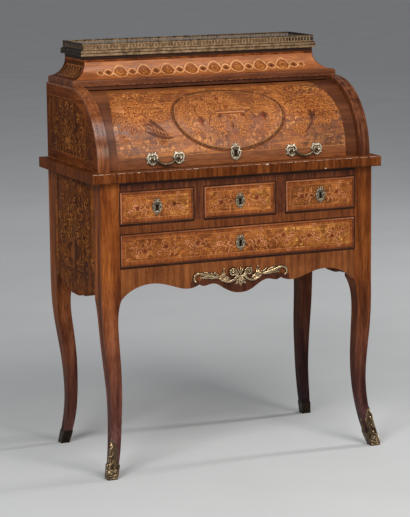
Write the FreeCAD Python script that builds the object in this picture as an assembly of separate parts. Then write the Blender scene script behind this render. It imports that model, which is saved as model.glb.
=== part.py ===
import FreeCAD, Part
import math
import os

# A small cylinder desk on four curved legs: a case of three short drawers over a long one, a
# writing slide in the desk top, a quarter-round cylinder that turns back under the roof, and a
# coved frieze with a pierced gallery. Millimetres, Z up, front towards -Y, origin on the floor
# at the middle of the desk.

# Heights, from the floor up
apron_top_z = 529.0
long_opening = 82.0
mid_rail_height = 26.0
small_opening = 81.0
top_rail_height = 24.0
slab_thickness = 26.0
axis_lift = 9.0
cheek_radius = 188.0
plinth_height = 16.0
cove_height = 47.0
top_panel_height = 10.0
gallery_base_height = 16.0
gallery_rail_height = 17.0

# Widths and depths of the main boxes
case_width = 756.0
case_depth = 382.0
slab_side_overhang = 22.0
slab_front_overhang = 12.0
slab_back_overhang = 8.0
post_width = 51.0
rail_thickness = 20.0
side_thickness = 20.0
back_thickness = 12.0
back_drop = 40.0
divider_width = 30.0
dust_board_thickness = 10.0
runner_width = 20.0
runner_height = 12.0
guide_height = 24.0

# Legs: how far the foot stands out from the post, and the sweep of each curve
leg_splay = 20.0
front_foot_forward = 53.0
rear_bow = 16.8
foot_side_share = 0.42
# Each row: share of the height to the knee, of the splay, of the sweep, and of the post's width
front_leg_shares = (
    (0.0, 1.0, 1.0, foot_side_share),
    (0.067, 0.58, 0.80, 0.465),
    (0.157, 0.17, 0.60, 0.502),
    (0.269, -0.15, 0.41, 0.53),
    (0.404, -0.33, 0.29, 0.58),
    (0.56, -0.22, 0.25, 0.663),
    (0.717, 0.05, 0.24, 0.725),
    (0.897, 0.22, 0.16, 0.785),
    (1.0, 0.0, 0.0, 1.0),
)
rear_leg_shares = (
    (0.0, 0.40, -0.07, foot_side_share),
    (0.067, 0.12, -0.49, 0.465),
    (0.157, -0.20, -0.86, 0.502),
    (0.269, -0.44, -1.0, 0.53),
    (0.404, -0.48, -0.92, 0.58),
    (0.56, -0.32, -0.62, 0.663),
    (0.717, 0.03, -0.15, 0.725),
    (0.897, 0.24, 0.24, 0.785),
    (1.0, 0.0, 0.0, 1.0),
)
sabot_floor = 2.5
sabot_wall = 2.2
sabot_toe_length = 3.0
sabot_toe_radius = 7.0
sabot_toe_width = 12.0
sabot_cup = 34.0
sabot_leaf = 95.0
rear_cup = 35.0
rear_cup_wall = 1.4

# Aprons: lowest point below the drawers, and the outline as shares of half width and drop
apron_height = 90.0
apron_arch_shares = ((1.0, 0.922), (0.917, 0.678), (0.725, 0.522), (0.566, 0.656), (0.459, 0.756),
                     (0.398, 0.739), (0.349, 0.667))
apron_lobe_shares = ((0.349, 0.667), (0.306, 0.722), (0.245, 0.678), (0.165, 0.767), (0.086, 0.939),
                     (0.0, 1.0))
side_apron_height = 95.0
side_arch_shares = ((1.0, 0.79), (0.88, 0.66), (0.72, 0.80), (0.58, 0.90), (0.44, 0.93), (0.36, 0.90))
side_lobe_shares = ((0.36, 0.90), (0.22, 0.985), (0.0, 1.0))

# Desk top and writing slide
desk_end_width = 63.0
desk_back_width = 38.0
slide_gap = 0.4
slide_tongue_length = 150.0
slide_tongue_depth = 5.0
slide_tongue_height = 8.0
groove_stop = 12.0
leather_side_border = 37.0
leather_depth = 122.0
leather_front_border = 62.0
leather_thickness = 1.5

# Upper case: cheeks, cylinder, its end quadrants and pivots
cheek_setback = 11.0
cheek_thickness = 30.0
cheek_reed_width = 3.0
cheek_reed_depth = 1.2
cheek_reed_shares = (0.28, 0.72)
upper_back_thickness = 9.0
cylinder_recess = 13.0
cylinder_thickness = 15.0
cylinder_end_gap = 0.8
cylinder_foot_gap = 0.8
cylinder_top_angle = 89.0
quadrant_thickness = 8.0
quadrant_hub_radius = 8.0
pin_radius = 4.0
pin_clearance = 0.06
pin_depth = 16.0
fascia_drop = 10.0
fascia_thickness = 12.0

# Roof: plinth moulding, cove, top panel and gallery
plinth_inset = 5.5
plinth_nose = 5.0
plinth_step = 3.0
cove_side_inset = 44.5
cove_front_inset = 41.0
cove_wall = 14.0
gallery_side_overhang = 9.5
gallery_front_overhang = 4.0
gallery_base_width = 16.0
gallery_base_step = 4.0
gallery_rail_inset = 5.0
gallery_rail_thickness = 2.0
gallery_bead_width = 4.0
gallery_bead_height = 3.0
gallery_slot_pitch = 9.0
gallery_slot_width = 5.0
gallery_slot_height = 10.0
gallery_slot_lift = 2.0

# Drawers
drawer_gap = 0.8
runner_gap = 0.3
drawer_proud = 2.0
drawer_front_thickness = 20.0
drawer_back_gap = 27.0
drawer_side_thickness = 9.0
drawer_back_thickness = 8.0
drawer_bottom_thickness = 5.0
drawer_bottom_lift = 5.0
drawer_side_drop = 6.0
bead_width = 4.0
bead_depth = 2.0

# Locks, escutcheons, handles and gilt mount
lock_width = 42.0
lock_height = 50.0
lock_depth = 12.0
lock_inset = 10.0
lock_clearance = 0.2
bolt_width = 16.0
bolt_thickness = 5.0
bolt_length = 14.0
bolt_travel = 8.0
bolt_clearance = 0.6
cylinder_lock_height = 42.0
escutcheon_width = 21.0
escutcheon_height = 33.0
escutcheon_thickness = 2.0
escutcheon_shoulder_shares = (0.78, 0.55)
keyhole_radius = 3.2
keyhole_slot_width = 3.2
keyhole_slot_length = 9.5
escutcheon_rise = 21.0
handle_spread = 193.0
handle_span = 72.0
handle_rise = 15.0
boss_width = 26.0
boss_height = 32.0
boss_plate = 2.5
boss_post_radius = 4.5
boss_post_length = 13.0
boss_tip_radius = 2.5
boss_tip_length = 3.0
bail_reach = 8.0
bail_wire_radius = 2.6
bail_knuckle_radius = 3.2
bail_pin_radius = 1.8
bail_pin_clearance = 0.1
bail_pin_depth = 4.0
bail_drop = 18.0
bail_bend_radius = 10.0
mount_half_width = 132.0
mount_half_height = 28.0
mount_lift = 2.0
mount_thickness = 5.0
mount_relief = 3.0
mount_outline_shares = ((0.0, 1.0), (0.09, 0.90), (0.16, 0.46), (0.26, 0.72), (0.36, 0.42), (0.53, 0.58),
                        (0.72, 0.42), (0.89, 0.36), (1.0, 0.14))
mount_underside_shares = ((1.0, 0.14), (0.85, -0.07), (0.67, -0.14), (0.50, -0.28), (0.35, -0.50),
                          (0.23, -0.64), (0.11, -0.92), (0.0, -1.0))
mount_volute_place_shares = (0.25, 0.05)
mount_volute_radius = 12.0
mount_volute_wire = 4.0
mount_shell_radius = 13.0

# Nest of pigeonholes and small drawers behind the cylinder
nest_front_reach = 17.0
nest_back_gap = 51.0
nest_height = 100.0
nest_board = 8.0
nest_back_board = 6.0
nest_end_gap = 2.0
nest_ear_setback = 23.0
nest_centre_width = 250.0
nest_drawer_height = 42.0
nest_drawer_gap = 0.6
nest_drawer_board = 6.0
nest_drawer_front = 10.0
nest_drawer_bottom = 4.0
knob_radius = 6.0
knob_length = 12.0
knob_neck_radius = 3.0
knob_neck_length = 5.0
knob_rim = 3.5
knob_chamfer = 1.5

# How far a cutter runs past the face that it opens
overrun = 5.0

quarter_turn = 90.0
diagonal_share = math.sqrt(0.5)

V = FreeCAD.Vector
X_AXIS = V(1, 0, 0)
Y_AXIS = V(0, 1, 0)
Z_AXIS = V(0, 0, 1)

# Levels
long_top_z = apron_top_z + long_opening
small_bottom_z = long_top_z + mid_rail_height
small_top_z = small_bottom_z + small_opening
case_top_z = small_top_z + top_rail_height
slab_top_z = case_top_z + slab_thickness
axis_z = slab_top_z + axis_lift
cheek_top_z = axis_z + cheek_radius
plinth_top_z = cheek_top_z + plinth_height
cove_top_z = plinth_top_z + cove_height
panel_top_z = cove_top_z + top_panel_height
gallery_base_top_z = panel_top_z + gallery_base_height
knee_z = apron_top_z - apron_height * apron_arch_shares[0][1]

# Places across
half_case = case_width / 2
half_opening = half_case - post_width
half_slab = half_case + slab_side_overhang
half_slide = half_slab - desk_end_width
cheek_inner_x = half_case - cheek_thickness
cylinder_half = cheek_inner_x - cylinder_end_gap
quadrant_inner_x = cylinder_half - quadrant_thickness
post_x = half_case - post_width / 2

# Places from front to back: the toe and the desk top's back edge are equally far from the origin
foot_half = post_width * foot_side_share / 2
toe_reach = front_foot_forward - post_width / 2 + foot_half + sabot_wall + sabot_toe_length
back_y = (slab_back_overhang + case_depth + toe_reach) / 2 - slab_back_overhang
front_y = back_y - case_depth
slab_front_y = front_y - slab_front_overhang
slab_back_y = back_y + slab_back_overhang
axis_y = front_y + cheek_setback + cheek_radius
cylinder_radius = cheek_radius - cylinder_recess
cylinder_inner = cylinder_radius - cylinder_thickness
cylinder_foot_angle = -math.degrees(math.asin((axis_lift - cylinder_foot_gap) / cylinder_radius))
drawer_face_y = front_y - drawer_proud
upper_back_y = back_y - upper_back_thickness
lower_back_y = back_y - back_thickness
back_rail_y = slab_back_y - desk_back_width
slide_back_y = back_rail_y - slide_gap
slide_top_z = slab_top_z - slide_gap


def box(x0, x1, y0, y1, z0, z1):
    return Part.makeBox(x1 - x0, y1 - y0, z1 - z0, V(x0, y0, z0))


def mirrored(shape):
    return shape.mirror(V(0, 0, 0), X_AXIS)


def line(a, b):
    return Part.LineSegment(a, b).toShape()


def arc(a, b, c):
    return Part.Arc(a, b, c).toShape()


def spline(points):
    curve = Part.BSplineCurve()
    curve.interpolate(points)
    return curve.toShape()


def prism(edges, depth):
    """Solid from a closed outline, pushed along the depth vector."""
    wire = Part.Wire(Part.__sortEdges__(edges))
    return Part.Face(wire).extrude(depth)


def polygon_prism(points, depth):
    return Part.Face(Part.makePolygon(points + points[:1])).extrude(depth)


def save(name, *solids):
    shape = solids[0] if len(solids) == 1 else Part.makeCompound(list(solids))
    shape.exportStep("parts/" + name + ".step")


def on_cylinder(radius, degrees, x=0):
    """Point at a radius and an angle above the horizontal, in front of the pivot axis."""
    angle = math.radians(degrees)
    return V(x, axis_y - radius * math.cos(angle), axis_z + radius * math.sin(angle))


def sector(outer, inner, low, high, x0, x1):
    """Slice of a tube about the pivot axis between two angles and two radii."""
    angles = (low, (low + high) / 2, high)
    outside = [on_cylinder(outer, angle, x0) for angle in angles]
    inside = [on_cylinder(inner, angle, x0) for angle in angles]
    edges = [arc(*outside), line(outside[2], inside[2]), arc(*inside), line(inside[0], outside[0])]
    return prism(edges, V(x1 - x0, 0, 0))


def ring_slice(outer, inner, x0, width):
    ring = Part.makeCylinder(outer, width, V(x0, axis_y, axis_z), X_AXIS)
    return ring.cut(Part.makeCylinder(inner, width, V(x0, axis_y, axis_z), X_AXIS))


# Legs and their sabots

def leg_square(x, y, half, z):
    turns = ((-1, -1), (1, -1), (1, 1), (-1, 1), (-1, -1))
    return Part.makePolygon([V(x + half * a, y + half * b, z) for a, b in turns])


def leg_sections(shares, post_y, sweep, extra):
    """Squares up the leg: sweep is signed towards the side that the foot stands out on."""
    sections = []
    for height_share, x_share, y_share, side_share in shares:
        half = post_width * side_share / 2 + extra
        z = sabot_floor + (knee_z - sabot_floor) * height_share
        sections.append(leg_square(post_x + leg_splay * x_share, post_y + sweep * y_share, half, z))
    return sections


def leg(shares, post_y, sweep):
    shaft = Part.makeLoft(leg_sections(shares, post_y, sweep, 0), True, False)
    half = post_width / 2
    post = box(post_x - half, post_x + half, post_y - half, post_y + half, knee_z, case_top_z)
    return post.fuse(shaft).removeSplitter()


def foot_point(shares, post_y, sweep):
    """Where the middle of the foot stands on the floor."""
    _, x_share, y_share, _ = shares[0]
    return V(post_x + leg_splay * x_share, post_y + sweep * y_share, 0)


def shoe(shares, post_y, sweep, wall, height):
    """Metal skin round the foot up to a height, on a flat base."""
    skin = Part.makeLoft(leg_sections(shares, post_y, sweep, wall), True, False)
    reach = post_width + front_foot_forward
    slab = box(post_x - reach, post_x + reach, post_y - reach, post_y + reach, sabot_floor, height)
    foot = foot_point(shares, post_y, sweep)
    half = foot_half + wall
    base = box(foot.x - half, foot.x + half, foot.y - half, foot.y + half, 0, sabot_floor)
    return skin.common(slab).fuse(base)


front_post_y = front_y + post_width / 2
rear_post_y = back_y - post_width / 2
front_curve = (front_leg_shares, front_post_y, -front_foot_forward)
rear_curve = (rear_leg_shares, rear_post_y, rear_bow)
front_leg = leg(*front_curve)
rear_leg = leg(*rear_curve)


def front_sabot():
    """Gilt shoe with a pointed leaf up the outer corner of the leg and a scrolled toe."""
    half = foot_half + sabot_wall
    corner = foot_point(*front_curve) + V(half, -half, 0)
    outward = V(diagonal_share, -diagonal_share, 0)
    across = V(diagonal_share, diagonal_share, 0)
    start = corner - outward * post_width
    side = across * foot_half
    low = start + Z_AXIS * sabot_floor
    shoulder = start + Z_AXIS * ((sabot_cup + sabot_leaf) / 2)
    tip = start + Z_AXIS * sabot_leaf
    leaf_space = polygon_prism([low - side, low + side, shoulder + side, tip, shoulder - side],
                               outward * 2 * post_width)
    leaf = shoe(*front_curve, sabot_wall, sabot_leaf).common(leaf_space)
    toe_inset = (sabot_toe_radius + sabot_toe_width / 2) * diagonal_share - sabot_toe_length
    toe_middle = corner + V(-toe_inset, toe_inset, sabot_toe_radius)
    toe = Part.makeCylinder(sabot_toe_radius, sabot_toe_width,
                            toe_middle - across * (sabot_toe_width / 2), across)
    cup = shoe(*front_curve, sabot_wall, sabot_cup)
    return cup.fuse([leaf, toe]).cut(front_leg).removeSplitter()


def rear_sabot():
    return shoe(*rear_curve, rear_cup_wall, rear_cup).cut(rear_leg).removeSplitter()


# Lower case

def lobed_board(half, drop, arch_shares, lobe_shares, top_z, place, depth):
    """Board with a lobed lower edge: place puts a distance along and a height into space."""
    def points(shares, side):
        return [place(side * half * along, apron_top_z - drop * down) for along, down in shares]
    corners = [place(side * half, top_z) for side in (1, -1)]
    edges = [line(corners[0], corners[1])]
    for side, corner in zip((1, -1), corners):
        arch = points(arch_shares, side)
        edges.append(line(corner, arch[0]))
        edges.append(spline(arch))
    lobe = points(lobe_shares, 1)
    lobe_back = points(lobe_shares, -1)
    edges.append(spline(lobe + lobe_back[-2::-1]))
    return prism(edges, depth)


front_apron = lobed_board(half_opening, apron_height, apron_arch_shares, apron_lobe_shares, apron_top_z,
                          lambda along, z: V(along, front_y, z), V(0, rail_thickness, 0))
side_middle_y = (front_y + back_y) / 2
side_half = case_depth / 2 - post_width
side_panel = lobed_board(side_half, side_apron_height, side_arch_shares, side_lobe_shares, case_top_z,
                         lambda along, z: V(half_case - side_thickness, side_middle_y + along, z),
                         V(side_thickness, 0, 0))
lower_back = box(-half_opening, half_opening, lower_back_y, back_y, apron_top_z - back_drop, case_top_z)
rail_back_y = front_y + rail_thickness
top_rail = box(-half_opening, half_opening, front_y, rail_back_y, small_top_z, case_top_z)
mid_rail = box(-half_opening, half_opening, front_y, rail_back_y, long_top_z, small_bottom_z)
small_width = (2 * half_opening - 2 * divider_width) / 3
divider_x0 = small_width / 2
dividers = []
guides = []
for side in (-1, 1):
    x0 = side * (divider_x0 + divider_width / 2) - divider_width / 2
    dividers.append(box(x0, x0 + divider_width, front_y, rail_back_y, small_bottom_z, small_top_z))
    guides.append(box(x0, x0 + divider_width, rail_back_y, lower_back_y,
                      small_bottom_z, small_bottom_z + guide_height))
dust_board = box(-half_opening, half_opening, rail_back_y, lower_back_y,
                 small_bottom_z - dust_board_thickness, small_bottom_z)
runner = box(half_opening - runner_width, half_opening, rail_back_y, lower_back_y,
             apron_top_z - runner_height, apron_top_z)

# Desk top: two end boards and a back rail round the writing slide
tongue_z0 = (case_top_z + slab_top_z - slide_tongue_height) / 2
groove_half = half_slide + slide_tongue_depth + slide_gap
groove = box(half_slide - overrun, groove_half, slab_front_y + groove_stop, back_rail_y,
             tongue_z0 - slide_gap, tongue_z0 + slide_tongue_height + slide_gap)
end_board = box(half_slide, half_slab, slab_front_y, slab_back_y, case_top_z, slab_top_z).cut(groove)
top_back_rail = box(-half_slide, half_slide, back_rail_y, slab_back_y, case_top_z, slab_top_z)

slide_half = half_slide - slide_gap
slide_board = box(-slide_half, slide_half, slab_front_y, slide_back_y, case_top_z + runner_gap, slide_top_z)
tongue = box(slide_half, half_slide + slide_tongue_depth, slide_back_y - slide_tongue_length, slide_back_y,
             tongue_z0, tongue_z0 + slide_tongue_height)
slide_board = slide_board.fuse([tongue, mirrored(tongue)]).removeSplitter()
leather_y0 = slab_front_y + leather_front_border
leather_half = slide_half - leather_side_border
slide_leather = box(-leather_half, leather_half, leather_y0, leather_y0 + leather_depth,
                    slide_top_z - leather_thickness, slide_top_z)
slide_board = slide_board.cut(slide_leather)

# Cheeks with a reeded front edge, and the upper back
cheek_front_y = axis_y - cheek_radius


def cheek():
    x0 = cheek_inner_x
    edges = [
        line(V(x0, cheek_front_y, slab_top_z), V(x0, cheek_front_y, axis_z)),
        arc(on_cylinder(cheek_radius, 0, x0), on_cylinder(cheek_radius, quarter_turn / 2, x0),
            on_cylinder(cheek_radius, quarter_turn, x0)),
        line(V(x0, axis_y, cheek_top_z), V(x0, back_y, cheek_top_z)),
        line(V(x0, back_y, cheek_top_z), V(x0, back_y, slab_top_z)),
        line(V(x0, back_y, slab_top_z), V(x0, cheek_front_y, slab_top_z)),
    ]
    board = prism(edges, V(cheek_thickness, 0, 0))
    front_quarter = box(x0, half_case, cheek_front_y, axis_y, axis_z, cheek_top_z)
    for place_share in cheek_reed_shares:
        reed_x = x0 + cheek_thickness * place_share - cheek_reed_width / 2
        reed = ring_slice(cheek_radius + overrun, cheek_radius - cheek_reed_depth, reed_x, cheek_reed_width)
        board = board.cut(reed.common(front_quarter))
    bore = Part.makeCylinder(pin_radius + pin_clearance, pin_depth, V(x0, axis_y, axis_z), X_AXIS)
    return board.cut(bore)


upper_back = box(-cheek_inner_x, cheek_inner_x, upper_back_y, back_y, slab_top_z, cheek_top_z)
plinth_front_y = axis_y - plinth_nose
fascia_y = plinth_front_y + plinth_step
fascia = box(-cheek_inner_x, cheek_inner_x, fascia_y, fascia_y + fascia_thickness,
             cheek_top_z - fascia_drop, cheek_top_z)
pin = Part.makeCylinder(pin_radius, cheek_inner_x + pin_depth - quadrant_inner_x,
                        V(quadrant_inner_x, axis_y, axis_z), X_AXIS)

# Cylinder, end quadrants and lock
cylinder_shell = sector(cylinder_radius, cylinder_inner, cylinder_foot_angle, cylinder_top_angle,
                        -cylinder_half, cylinder_half)
cylinder_foot_z = slab_top_z + cylinder_foot_gap


def quadrant():
    angles = (cylinder_foot_angle, (cylinder_foot_angle + cylinder_top_angle) / 2, cylinder_top_angle)
    low, middle, high = [on_cylinder(cylinder_inner, angle, quadrant_inner_x) for angle in angles]
    centre = V(quadrant_inner_x, axis_y, axis_z)
    edges = [line(centre, low), arc(low, middle, high), line(high, centre)]
    plate = prism(edges, V(quadrant_thickness, 0, 0))
    hub = Part.makeCylinder(quadrant_hub_radius, quadrant_thickness, centre, X_AXIS)
    bore = Part.makeCylinder(pin_radius + pin_clearance, quadrant_thickness, centre, X_AXIS)
    return plate.fuse(hub).cut(bore).removeSplitter()


def lock(x, y0, z0, width, depth, height, bolt_y, bolt_end_z, up):
    """Lock case with a channel, and the bolt drawn back in it; up is 1 or -1, the way it shoots."""
    case = box(x - width / 2, x + width / 2, y0, y0 + depth, z0, z0 + height)
    half = bolt_width / 2
    thick = bolt_thickness / 2
    ends = sorted((bolt_end_z, bolt_end_z - up * bolt_length))
    channel_ends = sorted((bolt_end_z + up * overrun, bolt_end_z - up * (bolt_length + bolt_clearance)))
    bolt = box(x - half, x + half, bolt_y - thick, bolt_y + thick, *ends)
    channel = box(x - half - bolt_clearance, x + half + bolt_clearance, bolt_y - thick - bolt_clearance,
                  bolt_y + thick + bolt_clearance, *channel_ends)
    strike_ends = sorted((bolt_end_z - up * overrun, bolt_end_z + up * (bolt_travel + bolt_clearance)))
    strike = box(x - half - bolt_clearance, x + half + bolt_clearance, bolt_y - thick - bolt_clearance,
                 bolt_y + thick + bolt_clearance, *strike_ends)
    return case.cut(channel), bolt, strike


def keyhole(x, z, y0, y1):
    """Cutter for a round hole with a slot below it, right through from y0 to y1."""
    hole = Part.makeCylinder(keyhole_radius, y1 - y0, V(x, y0, z), Y_AXIS)
    slot = box(x - keyhole_slot_width / 2, x + keyhole_slot_width / 2, y0, y1, z - keyhole_slot_length, z)
    return hole.fuse(slot)


def escutcheon_blank(x, z, y0, y1):
    """Cartouche of four arcs with pointed ends and flanks, as a prism from y0 to y1."""
    half_w = escutcheon_width / 2
    half_h = escutcheon_height / 2
    across_share, up_share = escutcheon_shoulder_shares
    edges = []
    for side in (-1, 1):
        for way in (-1, 1):
            tip = V(x, y0, z + way * half_h)
            shoulder = V(x + side * half_w * across_share, y0, z + way * half_h * up_share)
            edges.append(arc(tip, shoulder, V(x + side * half_w, y0, z)))
    return prism(edges, V(0, y1 - y0, 0))


def fitted_lock(x, y0, z0, width, depth, height):
    """The recess that a lock case lies in, a little larger than the case."""
    half = width / 2 + lock_clearance
    return box(x - half, x + half, y0 - lock_clearance, y0 + depth + overrun,
               z0 - lock_clearance, z0 + height + lock_clearance)


cylinder_lock_y = on_cylinder(cylinder_inner, 0).y - lock_inset + lock_clearance
cylinder_bolt_y = cylinder_lock_y + lock_depth / 2
cylinder_lock_case, cylinder_bolt, slide_strike = lock(
    0, cylinder_lock_y, cylinder_foot_z, lock_width, lock_depth, cylinder_lock_height,
    cylinder_bolt_y, cylinder_foot_z, -1)
escutcheon_z = slab_top_z + escutcheon_rise + axis_lift
cylinder_front_y = axis_y - cylinder_radius
cylinder_keyhole = keyhole(0, escutcheon_z, cylinder_front_y - overrun, cylinder_lock_y + overrun)
cylinder_recess_box = box(-lock_width / 2 - lock_clearance, lock_width / 2 + lock_clearance,
                          cylinder_lock_y - lock_clearance, cylinder_lock_y + lock_depth + overrun,
                          cylinder_foot_z - overrun, cylinder_foot_z + cylinder_lock_height + lock_clearance)
cylinder_shell = cylinder_shell.cut([cylinder_recess_box, cylinder_keyhole])
escutcheon_skin = ring_slice(cylinder_radius + escutcheon_thickness, cylinder_radius,
                             -escutcheon_width, 2 * escutcheon_width)
cylinder_escutcheon = escutcheon_blank(0, escutcheon_z, cylinder_front_y - overrun,
                                       cylinder_front_y + cylinder_thickness)
cylinder_escutcheon = cylinder_escutcheon.common(escutcheon_skin).cut(cylinder_keyhole)
slide_board = slide_board.cut(slide_strike)

# Drop handles on the cylinder: bosses with a pin hole, and bails that hang in them
handle_angle = math.degrees(math.asin(handle_rise / cylinder_radius))
bail_axis = on_cylinder(cylinder_radius + bail_reach, handle_angle)
bail_half = handle_span / 2


def boss(x, inward):
    """Oval plate bent to the cylinder, with a short post that is drilled on its inner side."""
    surface = on_cylinder(cylinder_radius, handle_angle, x)
    axis = on_cylinder(cylinder_radius + boss_post_length, handle_angle, x) - surface
    centre = V(x, surface.y - boss_plate - overrun, surface.z)
    oval = Part.Ellipse(centre + Z_AXIS * (boss_height / 2), centre + X_AXIS * (boss_width / 2), centre)
    face = Part.Face(Part.Wire(oval.toShape()))
    plate = face.extrude(V(0, boss_plate + overrun + cylinder_thickness, 0))
    skin = ring_slice(cylinder_radius + boss_plate, cylinder_radius, x - boss_height, 2 * boss_height)
    post = Part.makeCylinder(boss_post_radius, boss_post_length, surface, axis)
    tip = Part.makeCone(boss_post_radius, boss_tip_radius, boss_tip_length, surface + axis, axis)
    core = Part.makeCylinder(cylinder_radius, 2 * boss_height, V(x - boss_height, axis_y, axis_z), X_AXIS)
    bore_start = V(x + inward * (boss_post_radius + overrun), bail_axis.y, bail_axis.z)
    bore = Part.makeCylinder(bail_pin_radius + bail_pin_clearance, bail_pin_depth + overrun,
                             bore_start, X_AXIS * -inward)
    return plate.common(skin).fuse([post.cut(core), tip]).cut(bore).removeSplitter()


def bail(centre_x):
    """Bent wire: a pin and a knuckle at each end, two drops and a bottom bar, with round bends."""
    y = bail_axis.y
    top = bail_axis.z
    low = top - bail_drop
    r = bail_bend_radius
    stem = bail_half - boss_post_radius - bail_wire_radius - r / 2
    bend = r - r * diagonal_share
    drop_end = V(centre_x + stem, y, low + r)
    bar_end = V(centre_x + stem - r, y, low)
    right = [line(V(centre_x + stem, y, top), drop_end),
             arc(drop_end, V(centre_x + stem - bend, y, low + bend), bar_end)]
    left = [e.mirror(V(centre_x, 0, 0), X_AXIS) for e in right]
    bar = line(V(centre_x + stem - r, y, low), V(centre_x - stem + r, y, low))
    path = Part.Wire(Part.__sortEdges__(right + left + [bar]))
    circle = Part.Wire(Part.Circle(V(centre_x + stem, y, top), Z_AXIS, bail_wire_radius).toShape())
    wire = path.makePipeShell([circle], True, False)
    pieces = []
    pin_length = bail_half - stem - boss_post_radius + bail_pin_depth - bail_pin_clearance
    for side in (-1, 1):
        x = centre_x + side * stem
        pieces.append(Part.makeCylinder(bail_knuckle_radius, 2 * bail_wire_radius,
                                        V(x - bail_wire_radius, y, top), X_AXIS))
        pieces.append(Part.makeCylinder(bail_pin_radius, pin_length, V(x, y, top), X_AXIS * side))
    return wire.fuse(pieces).removeSplitter()


bosses = []
for side in (-1, 1):
    for inward in (-1, 1):
        bosses.append(boss(side * handle_spread - inward * bail_half, inward))

# Drawers of the case


def drawer(x0, x1, z0, z1):
    """Beaded front, dovetailed box boards, escutcheon, lock and bolt of one drawer."""
    fx0 = x0 + drawer_gap
    fx1 = x1 - drawer_gap
    fz0 = z0 + drawer_gap
    fz1 = z1 - drawer_gap
    middle = (x0 + x1) / 2
    back_of_front = drawer_face_y + drawer_front_thickness
    end_y = lower_back_y - drawer_back_gap
    front = box(fx0, fx1, drawer_face_y, back_of_front, fz0, fz1)
    field_y = drawer_face_y + bead_depth
    field = box(fx0 + bead_width, fx1 - bead_width, drawer_face_y, field_y,
                fz0 + bead_width, fz1 - bead_width)
    lock_y = back_of_front - lock_inset
    lock_z = fz1 - lock_height
    lock_case, bolt, strike = lock(middle, lock_y, lock_z, lock_width, lock_depth, lock_height,
                                   lock_y + lock_depth / 2, fz1, 1)
    key_z = (z0 + z1) / 2
    key_cut = keyhole(middle, key_z, drawer_face_y - overrun, lock_y + overrun)
    lock_recess = fitted_lock(middle, lock_y, lock_z, lock_width, lock_depth, lock_height)
    front = front.cut([field, lock_recess, key_cut])
    plate = escutcheon_blank(middle, key_z, field_y - escutcheon_thickness, field_y).cut(key_cut)
    bz0 = z0 + runner_gap
    bz1 = fz1 - drawer_side_drop
    inner0 = fx0 + drawer_side_thickness
    inner1 = fx1 - drawer_side_thickness
    inner_end = end_y - drawer_back_thickness
    floor_z = bz0 + drawer_bottom_lift
    floor_top = floor_z + drawer_bottom_thickness
    boards = [
        box(fx0, inner0, back_of_front, end_y, bz0, bz1),
        box(inner1, fx1, back_of_front, end_y, bz0, bz1),
        box(inner0, inner1, inner_end, end_y, floor_top, bz1),
        box(inner0, inner1, back_of_front, end_y, floor_z, floor_top),
    ]
    return front, boards, plate, lock_case, bolt, strike


drawer_places = {
    "left": (-half_opening, -half_opening + small_width, small_bottom_z, small_top_z),
    "middle": (-small_width / 2, small_width / 2, small_bottom_z, small_top_z),
    "right": (half_opening - small_width, half_opening, small_bottom_z, small_top_z),
    "long": (-half_opening, half_opening, apron_top_z, long_top_z),
}

# Roof


def moulded_block(half_x, y0, y1, z0, z1, segments, inset_x, inset_front, inset_back):
    """Block whose sides follow a moulding, with segments in shares of inset and height.

    A segment is a line or an arc, and a side with no inset is plain.
    """
    def run(place, inset):
        if inset == 0:
            return [line(place(*segments[0][0]), place(*segments[-1][-1]))]
        edges = []
        for segment in segments:
            points = [place(*p) for p in segment]
            edges.append(line(*points) if len(points) == 2 else arc(*points))
        return edges

    def outline(low, low_inset, high, high_inset, depth):
        start = segments[0][0]
        end = segments[-1][-1]
        edges = run(low, low_inset) + run(high, high_inset)
        edges.append(line(low(*start), high(*start)))
        edges.append(line(low(*end), high(*end)))
        return prism(edges, depth)

    height = z1 - z0
    across = outline(lambda s, t: V(-half_x + inset_x * s, y0, z0 + height * t), inset_x,
                     lambda s, t: V(half_x - inset_x * s, y0, z0 + height * t), inset_x,
                     V(0, y1 - y0, 0))
    along = outline(lambda s, t: V(-half_x, y0 + inset_front * s, z0 + height * t), inset_front,
                    lambda s, t: V(-half_x, y1 - inset_back * s, z0 + height * t), inset_back,
                    V(2 * half_x, 0, 0))
    return across.common(along)


ovolo_shares = (((0.0, 0.0), (0.0, 0.55)), ((0.0, 0.55), (0.3, 0.87), (1.0, 1.0)))
cove_shares = (((0.0, 0.0), (0.707, 0.293), (1.0, 1.0)),)
gallery_base_shares = (((0.0, 0.0), (0.0, 0.3)), ((0.0, 0.3), (0.7, 0.45), (1.0, 0.75)),
                       ((1.0, 0.75), (1.0, 1.0)))

plinth_half = half_case - plinth_inset
plinth = moulded_block(plinth_half, plinth_front_y, back_y, cheek_top_z, plinth_top_z, ovolo_shares,
                       plinth_step, plinth_step, 0)
cove_half = plinth_half - plinth_step
cove_front_y = plinth_front_y + plinth_step
cove_top_half = cove_half - cove_side_inset
cove = moulded_block(cove_half, cove_front_y, back_y, plinth_top_z, cove_top_z, cove_shares,
                     cove_side_inset, cove_front_inset, 0)
panel_front_y = cove_front_y + cove_front_inset
hollow_half = cove_top_half - cove_wall
cove_hollow = box(-hollow_half, hollow_half, panel_front_y + cove_wall, back_y - cove_wall,
                  plinth_top_z, cove_top_z)
cove = cove.cut(cove_hollow)
top_panel = box(-cove_top_half, cove_top_half, panel_front_y, back_y, cove_top_z, panel_top_z)

gallery_half = cove_top_half + gallery_side_overhang
gallery_front_y = panel_front_y - gallery_front_overhang
gallery_back_y = slab_back_y


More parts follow.
